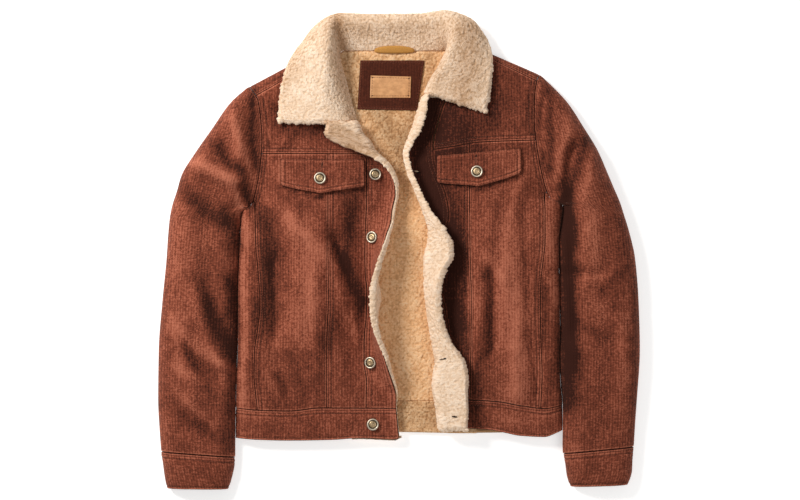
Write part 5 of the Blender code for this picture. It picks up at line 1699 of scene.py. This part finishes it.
@dataclass
class Back:
    """The back panel, the band across it, its pile lining and the strip at the hem."""

    left: Front
    right: Front
    band_seam: Table = field(default_factory=lambda: Table("x y", [
        (-270, -261), (-100, -256), (0, -251), (110, -251), (200, -254), (270, -256)]))
    hem: Table = field(default_factory=lambda: Table("x y", [
        (-270, -309), (-60, -302), (0, -299), (110, -301), (200, -300), (271, -298)]))
    band_wall: float = 4.0
    band_raised: float = 1.5
    band_y: float = -280.0
    lining_seam_y: float = -250.0
    lining_half: float = 254.0
    hem_proud: float = 2.0
    hem_wall: float = 5.0
    inset: float = 17.0
    below: float = 25.0
    lining_step: float = 5.0
    lining_turn: tuple[float, float] = (1.6, 0.25)
    lining_past: float = 5.5
    # Bands of painted shade on the lining's pile and on the strip of it at the hem.
    lining_dimmed: Sequence[tuple[float, ...]] = (
        (-20, 140, 2, 95, 16, -0.85), (-50, 190, -46, 150, 9, -0.4), (15, 150, 8, 110, 8, -0.6),
        (31, 192, 31, 166, 7, -0.4), (-47, 193, 21, 193, 4, -0.2))
    strip_dimmed: Sequence[tuple[float, ...]] = ((0, -166, 60, -166, 22, -0.6),)

    @property
    def fronts(self) -> tuple[Front, Front]:
        """Both fronts."""
        return self.left, self.right

    def face(self, x: Grid, y: Grid) -> Grid:
        """Return points on the lower face of the back."""
        low = SHAPE.side_seam_z - SEAM_GAP
        z = np.zeros_like(x)
        for front in self.fronts:
            o = front.outline
            from_edge = o.side.value * (o.edge.at(y) - x)
            z = np.maximum(z, low * (1 - o.above_armpit(y)) * (1 - dome(from_edge / SHAPE.under_roll)))
            above_neck = ease((SHAPE.neck_y - 0.5 - y) / 8)
            shape = 1 - dome(o.from_shoulder(x, y) / SHAPE.under_roll)
            z = np.maximum(z, low * above_neck * shape)
        return np.stack([x, y, z], -1)

    def top(self, x: Grid) -> Grid:
        """Return y of the back's upper edge."""
        shoulders = [front.outline.fold_line(x) for front in self.fronts]
        return np.minimum(np.minimum(*shoulders), SHAPE.neck_y)

    def build(self, finishes: Finishes) -> None:
        """Make the back's pieces."""
        near = (0, 0.6, 1.6, 3.2, 5.5, 9)
        u = spread(530, 14, near, near)[None, :]
        share = spread(590, 14, near, near)[:, None]
        levels = []
        for front in self.fronts:
            tip = front.outline.shoulder_fold.at(1000.0 * front.outline.side.value)
            start = self.band_seam.at(270.0 * front.outline.side.value)
            levels.append(start + (tip - start) * share)
        line = levels[0] * (1 - u) + levels[1] * u
        edges = [front.outline.edge.at(y) for front, y in zip(self.fronts, levels)]
        x = (edges[0] + SEAM_GAP) * (1 - u) + (edges[1] - SEAM_GAP) * u
        upper, lower = ease(line / line[-1:]), ease(-line / -line[:1])
        y = line + SEAM_GAP / 2 * lower
        for border, weight in ((self.top(x), upper), (self.band_seam.at(x), lower)):
            y = y + weight * (border - border[:, :1] * (1 - u) - border[:, -1:] * u)
        Cloth("back_panel", self.face(x, y), Corduroy(), SHAPE.corduroy, -1, across=x, along=y, toned=False,
              seams=[Seam(Border.FIRST_ROW, 2.0)]).build(finishes)

        left = self.left.outline.edge.at(self.band_y) - self.band_raised
        right = self.right.outline.edge.at(self.band_y) + self.band_raised
        share = spread(48, 4, EDGE, FINE)[:, None]
        x = (left + (right - left) * u) + 0 * share
        y = self.hem.at(x) * (1 - share) + (self.band_seam.at(x) - SEAM_GAP / 2) * share
        from_side = np.minimum(x - left, right - x)
        low = SHAPE.side_seam_z - SEAM_GAP
        points = np.stack([x, y, low * (1 - dome(from_side / SHAPE.under_roll))], -1)
        Cloth("back_band", points, Corduroy(), self.band_wall, -1, across=x, along=y, toned=False,
              seams=[Seam(Border.LAST_ROW, 2.0), Seam(Border.FIRST_ROW, 4.5)]).build(finishes)
        self.build_lining(finishes)

    def build_lining(self, finishes: Finishes) -> None:
        """Make the pile lining and the strip of it at the hem."""
        shown = (spread(254, self.lining_step) - 0.5) * 254
        sides = np.arange(12, 128, 8.0)
        across = np.unique(np.concatenate([-127 - sides, shown, 127 + sides, [-254, 254]]))
        u = ((across + 254) / 508)[None, :]
        share = spread(56, self.lining_step, EDGE, EDGE)[:, None]
        x = self.lining_half * (2 * u - 1) + 0 * share
        y = (self.hem.at(x) - self.hem_proud) * (1 - share) + self.lining_seam_y * share
        z = self.band_wall + SEAM_GAP
        strip = Cloth("lining_hem", np.stack([x, y, 0 * x + z + self.hem_wall - 1.5], -1),
                      finishes.lining, self.hem_wall - 1.5, 1, across=x, along=y, rim=1.6, pillow=0.0,
                      pile=2.2, pile_reach=130.0, pile_step=1.25, dimmed=self.strip_dimmed)
        strip.build(finishes, ["back_band"])

        share = spread(575, self.lining_step, EDGE, EDGE)[:, None]
        y = np.zeros((share.shape[0], u.shape[1]))
        for _ in range(8):
            edges = []
            for front in self.fronts:
                o = front.outline
                inset = self.inset - 7 * ease((y - o.armpit_y) / 60)
                edges.append(o.edge.at(y) - o.side.value * inset)
            x = edges[0] * (1 - u) + edges[1] * u
            shoulders = [front.outline.fold_line(x) for front in self.fronts]
            top = np.minimum(np.minimum(*shoulders) - self.below, SHAPE.neck_y)
            y = (self.lining_seam_y + SEAM_GAP) * (1 - share) + top * share
        z = SHAPE.corduroy + SEAM_GAP
        soft = 1.3 * ValueNoise(5).at(x, y, 46.0) * ease((329 - y) / 30)
        points = np.stack([x, y, z + SHAPE.sherpa - 1.5 + soft], -1)
        lining = Cloth("back_lining", points, finishes.lining, SHAPE.sherpa - 1.5, 1, across=x, along=y,
                       rim=1.6, pillow=0.0, pile=2.4, pile_reach=130.0, pile_step=1.4,
                       pile_turn_rows=self.lining_turn, pile_past=self.lining_past,
                       dimmed=self.lining_dimmed)
        lining.build(finishes, ["back_panel"])


# ---------------------------------------------------------------- collar

@dataclass
class Collar:
    """The turned-down collar: sections round the neck, from the seam to the free edge."""

    pile: float = 4.5
    under: float = 2.0
    # Bands of painted shade on the collar's pile, where it slopes away from the light or lies in its own
    # shadow.
    dimmed: Sequence[tuple[float, ...]] = (
        (-60, 222, 45, 222, 16, -0.3), (-62, 232, -56, 200, 6, -0.6), (-64, 190, -46, 135, 7, -0.4),
        (72, 210, 62, 150, 17, -0.55), (40, 190, 38, 165, 8, -0.3), (-90, 222, -118, 160, 9, -0.35))
    along_steps: int = 170
    across_steps: int = 74
    sections: Grid = field(default_factory=lambda: np.array([
        ((-68, 214, 16), (-84, 212, 35), (-106, 212, 43), (-134, 211, 45), (-166, 211, 43), (-197, 213, 41)),
        ((-78, 249, 16), (-98, 250, 37), (-119, 252, 48), (-137, 252, 48), (-165, 253, 45), (-195, 252, 41)),
        ((-87, 283, 16), (-101, 288, 37), (-117, 294, 49), (-135, 294, 49), (-162, 294, 45), (-188, 291, 40)),
        ((-96, 314, 13), (-103, 325, 35), (-116, 336, 49), (-133, 336, 48), (-156, 331, 41), (-179, 319, 30)),
        ((-95, 328.5, 9.8), (-101, 349, 28), (-109, 369, 43), (-124, 374, 41), (-144, 365, 27),
         (-152, 350, 14)),
        ((-80, 329.5, 9.3), (-86, 352, 22), (-94, 375, 32), (-102, 389, 27), (-108, 388, 11), (-105, 371, 4)),
        ((-50, 329.5, 9.3), (-52, 353, 19), (-54, 375, 28), (-56, 389, 22), (-57, 389, 8), (-57, 375, 1)),
        ((-8, 329.5, 9.3), (-8, 353, 19), (-8, 375, 28), (-8, 389, 22), (-8, 389, 8), (-8, 375, 1)),
        ((36, 329.5, 9.3), (36, 353, 19), (36, 376, 28), (37, 390, 22), (38, 390, 8), (40, 376, 1)),
        ((66, 329.5, 9.3), (66, 352, 22), (69, 379, 33), (77, 394, 28), (86, 393, 12), (87, 374, 4)),
        ((82, 329.5, 9.8), (79, 346, 29), (87, 364, 44), (102, 376, 42), (122, 379, 27), (133, 365, 14)),
        ((81, 316, 11), (76, 326, 31), (85, 337, 48), (103, 344, 49), (129, 342, 41), (152, 335, 28)),
        ((72, 295, 12), (63, 300, 32), (73, 306, 48), (93, 305, 49), (123, 303, 45), (153, 300, 38)),
        ((58, 276, 12), (49, 278, 31), (59, 281, 46), (80, 279, 47), (115, 272, 45), (149, 265, 40)),
        ((50, 260, 12), (41, 259, 29), (51, 257, 42), (72, 251, 44), (106, 240, 43), (142, 230, 40)),
    ], float))

    @staticmethod
    def spline(points: Grid, at: Grid) -> Grid:
        """Read a smooth curve through points, one for each whole number."""
        slope = np.gradient(points, axis=0)
        i = np.clip(at.astype(int), 0, len(points) - 2)
        t = (at - i).reshape(at.shape + (1,) * (points.ndim - 1))
        rise = points[i + 1] - points[i]
        return (points[i] + rise * t * t * (3 - 2 * t) + slope[i] * t * (1 - t) ** 2
                - slope[i + 1] * t * t * (1 - t))

    def face(self, along: Grid, across: Grid) -> Grid:
        """Return a grid of points on the outer face.

        Args:
            along: Places round the collar, counted in sections.
            across: Places from the neck to the edge, counted in a section's points.

        Returns:
            The points.
        """
        lines = self.spline(self.sections, along)
        return np.swapaxes(self.spline(np.swapaxes(lines, 0, 1), across), 0, 1)

    def build(self, finishes: Finishes) -> None:
        """Make the collar's pile face and its corduroy under side."""
        along = np.linspace(0, len(self.sections) - 1, self.along_steps + 1)
        across = np.linspace(0, self.sections.shape[1] - 1, self.across_steps + 1)
        points = self.face(along, across)
        run = lengths(points, 1)
        rise = lengths(points, 0).mean(1, keepdims=True) + 0 * run
        Cloth("collar", points, Sherpa(), self.pile - 1, -1, across=run, along=rise, rim=1.6,
              pillow=0.0, pile=2.0, lift=-1.0, seed=11, fringe=6.0, pile_turn=(0.9, math.pi),
              dimmed=self.dimmed).build(finishes, ["yoke_left", "yoke_right"])
        across = np.linspace(0, self.sections.shape[1] - 1, self.across_steps // 2 + 1)
        points = self.face(along[::2], across)
        Cloth("collar_under", points, Corduroy(), self.under, -1, lift=-self.pile - SEAM_GAP,
              rim=0.8, seed=12).build(finishes, ["yoke_left", "yoke_right"])


@dataclass
class NeckTrim:
    """The hanging loop, and the patch with its bare label, inside the back of the neck."""

    collar: Collar
    loop_along: tuple[float, float] = (6.24, 7.75)
    loop_across: tuple[float, float] = (-0.21, 0.32)
    loop_bow: float = 0.09
    loop_lift: float = 0.5
    loop_lift_middle: float = 2.0
    loop_wall: float = 2.5
    lining_top: float = 8.8
    patch: tuple = ((-69, 233), (30, 231), (42, 314), (-64, 314))
    patch_wall: float = 2.0
    label: tuple = ((-48, 252), (19, 252), (20, 287), (-47, 289))
    label_wall: float = 1.5
    pins: tuple = ((-44, 255.5), (15.5, 255.5), (16, 283.5), (-43.5, 285.5))
    pin: float = 1.7

    def build(self, finishes: Finishes) -> None:
        """Make the three pieces."""
        t = spread(68, 2.5)
        bow = 4 * t * (1 - t)
        points = []
        along = self.loop_along[0] + (self.loop_along[1] - self.loop_along[0]) * t
        middle, reach = sum(self.loop_across) / 2, (self.loop_across[1] - self.loop_across[0]) / 2
        for share in np.linspace(-1, 1, 6):
            at = middle + share * reach * (0.2 + 0.8 * np.sqrt(bow)) + self.loop_bow * bow
            rows = [self.collar.face(np.array([a]), np.array([b]))[0, 0] for a, b in zip(along, at)]
            points.append(rows)
        points = np.swapaxes(np.array(points), 0, 1)
        lift = (self.loop_lift + self.loop_wall + self.loop_lift_middle * bow)[:, None]
        Cloth("hanging_loop", points, finishes.tape, self.loop_wall, -1, lift=lift + np.zeros((1, 6)),
              rim=0.8, pillow=0.3, turned=2.9).build(finishes, ["collar"])
        stitching = Stitching("stitching_neck")
        z = self.lining_top
        for name, corners, thick, finish in (("neck_patch", self.patch, self.patch_wall, finishes.patch),
                                             ("neck_label", self.label, self.label_wall, Leather())):
            z += SEAM_GAP + thick
            u, v = spread(100, 4, FINE, FINE)[None, :, None], spread(80, 4, FINE, FINE)[:, None, None]
            a, b, c, d = (np.array(corner, float) for corner in corners)
            plan = (a * (1 - u) + b * u) * (1 - v) + (d * (1 - u) + c * u) * v
            points = np.concatenate([plan, np.full(plan.shape[:2] + (1,), z)], -1)
            seams = [Seam(border, 3.0, 0.3) for border in Border]
            cloth = Cloth(name, points, finish, thick, 1, across=plan[..., 0], along=plan[..., 1],
                          seams=seams, rim=0.7, pucker=0.15, shade=-0.45, toned=False)
            cloth.build(finishes, ["back_lining"])
            stitching.add(cloth)
        stitching.build(finishes)
        pins = [Hole("label", (x - self.pin, y, x + self.pin, y), self.pin) for x, y in self.pins]
        Holes("label_pin", pins).build({"label": cloth}, finishes)


# ---------------------------------------------------------------- buttons

class ButtonPart(Enum):
    """The parts of a shank button, by the finish that each has."""

    RIM = "nickel"
    WELL = "shadow"
    FACE = "brass"


@dataclass
class Button:
    """A shank button that stands on the cloth: rim, well and domed face in one."""

    name: str
    base: Grid
    direction: Grid
    sides: int = 48
    profile: tuple = ((0, 0), (4, 0), (4.1, 1.4), (8.6, 1.5), (9.7, 2.0), (10, 2.8), (9.9, 3.7),
                      (9.4, 4.5), (8.6, 4.9), (7.8, 4.8), (7.3, 4.3), (7.1, 3.7), (6.7, 3.4),
                      (6.2, 3.5), (5.9, 4.0), (5.2, 4.5), (3.8, 4.8), (2.6, 4.85), (2.2, 4.6),
                      (1.6, 4.65), (0, 4.75))

    @staticmethod
    def part(radius: float, height: float) -> int:
        """Return the number of the finish at a place: rim, painted shadow in the well and on the lower side,
        or face.
        """
        if radius > 9.3 and height < 3.3 or 6.0 < radius < 7.2:
            return 1
        return 0 if radius > 7.2 else 2

    def build(self, finishes: Finishes) -> None:
        """Make the button."""
        angle = np.linspace(0, 2 * math.pi, self.sides, endpoint=False)
        rings = [np.stack([r * np.cos(angle), r * np.sin(angle), z + 0 * angle], -1)
                 for r, z in self.profile]
        points = np.array(rings)
        mesh = bpy.data.meshes.new(f"{self.name}_turned")
        turn = Vector((0, 0, 1)).rotation_difference(Vector(self.direction)).to_matrix()
        placed = points.reshape(-1, 3) @ np.array(turn).T + self.base
        count = len(self.profile)
        faces, kinds = [], []
        for k in range(count - 1):
            radius = (self.profile[k][0] + self.profile[k + 1][0]) / 2
            part = self.part(radius, (self.profile[k][1] + self.profile[k + 1][1]) / 2)
            for i in range(self.sides):
                j = (i + 1) % self.sides
                a, b = k * self.sides, (k + 1) * self.sides
                if k == 0:
                    faces.append((a, b + j, b + i))
                elif k == count - 2:
                    faces.append((a + i, a + j, b))
                else:
                    faces.append((a + i, a + j, b + j, b + i))
                kinds.append(part)
        used = np.unique([v for face in faces for v in face])
        lookup = {v: i for i, v in enumerate(used)}
        faces = [tuple(lookup[v] for v in face) for face in faces]
        mesh.from_pydata((placed[used] * MM).tolist(), [], faces)
        paint(mesh, points.reshape(-1, 3)[used][:, :2] * MM)
        piece = place(mesh, finishes.nickel, finishes)
        for part in (ButtonPart.WELL, ButtonPart.FACE):
            mesh.materials.append(finishes.material(getattr(finishes, part.value)))
        mesh.polygons.foreach_set("material_index", kinds)
        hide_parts(self.name)
        LOG.info("%s", self.name)


@dataclass
class Buttons:
    """The buttons on the flaps and down the left placket."""

    fronts: dict[Side, Front]
    clearance: float = 0.8
    placket: tuple = ((125, 33), (21, 33), (-81, 21), (-186, 36), (-288, 41))

    def build(self, finishes: Finishes) -> None:
        """Make every button on the cloth that carries it."""
        for side, front in self.fronts.items():
            x, y = front.outline.pocket_button
            self.stand(finishes, f"button_pocket_{side.label}", front, front.cloth(x, y), y,
                       front.flap_lift + front.flap_wall)
        front = self.fronts[Side.LEFT]
        for number, (y, inset) in enumerate(self.placket, 1):
            lift = front.band_raised if y < front.outline.band_seam.at(0.0) else 0.0
            self.stand(finishes, f"button_{number}", front, front.free_edge(y) - inset, y, lift)

    def stand(self, finishes: Finishes, name: str, front: Front, c: float, y: float, lift: float) -> None:
        """Stand one button on a front's cloth."""
        near = 0.02
        across = front.point(c + near, y) - front.point(c - near, y)
        along = front.point(c, y + near) - front.point(c, y - near)
        normal = np.cross(across, along) * front.heading
        normal = normal / np.linalg.norm(normal)
        Button(name, front.point(c, y) + normal * (lift + self.clearance), normal).build(finishes)


# ---------------------------------------------------------------- studio

@dataclass
class Studio:
    """The pale floor, the soft lights and the camera straight above."""

    width: float = 1.32
    lens: float = 135.0
    sensor: float = 36.0
    centre: tuple[float, float] = (0.00165, 0.0)
    focus_height: float = 0.028
    floor_half: float = 6.0

    def build(self, finishes: Finishes) -> None:
        """Make the floor, the lights and the camera."""
        mesh = bpy.data.meshes.new("floor")
        h = self.floor_half
        mesh.from_pydata([(-h, -h, 0), (h, -h, 0), (h, h, 0), (-h, h, 0)], [], [(0, 1, 2, 3)])
        mesh.materials.append(finishes.material(finishes.floor))
        floor = bpy.data.objects.new("floor", mesh)
        floor.location.z = -0.0005
        bpy.context.scene.collection.objects.link(floor)

        scene = bpy.context.scene
        scene.view_settings.view_transform = "Standard"
        world = bpy.data.worlds.new("studio")
        world.use_nodes = True
        world.node_tree.nodes["Background"].inputs["Color"].default_value = (1.0, 1.0, 1.0, 1)
        world.node_tree.nodes["Background"].inputs["Strength"].default_value = 0.30
        scene.world = world
        self.light("key", (-1.7, 1.3, 1.7), 0.9, 74.0, (1.0, 0.97, 0.93))
        self.light("fill", (1.8, -0.9, 2.6), 2.4, 22.0, (1.0, 0.96, 0.92))

        camera = bpy.data.cameras.new("camera")
        camera.lens = self.lens
        camera.sensor_width = self.sensor
        camera.clip_end = 50.0
        distance = self.width * self.lens / self.sensor
        obj = bpy.data.objects.new("camera", camera)
        obj.location = (*self.centre, self.focus_height + distance)
        scene.collection.objects.link(obj)
        scene.camera = obj

    def light(self, name: str, place: Sequence[float], size: float, power: float, colour: Colour) -> None:
        """Add an area light that faces the jacket."""
        lamp = bpy.data.lights.new(name, "AREA")
        lamp.shape = "DISK"
        lamp.size = size
        lamp.energy = power
        lamp.color = colour
        obj = bpy.data.objects.new(name, lamp)
        obj.location = place
        obj.rotation_euler = (-Vector(place)).to_track_quat("-Z", "Y").to_euler()
        bpy.context.scene.collection.objects.link(obj)


def main() -> None:
    """Build the jacket and the studio."""
    logging.basicConfig(level=logging.INFO, format="%(name)s: %(message)s")
    finishes = Finishes()
    Studio().build(finishes)
    fronts = {side: Front(OUTLINES[side]) for side in Side}
    for side, front in fronts.items():
        front.build(finishes)
        Sleeve(front, SLEEVES[side], CUFFS[side]).build(finishes)
    Back(fronts[Side.LEFT], fronts[Side.RIGHT]).build(finishes)
    collar = Collar()
    collar.build(finishes)
    NeckTrim(collar).build(finishes)
    Buttons(fronts).build(finishes)


if __name__ == "__main__":
    main()
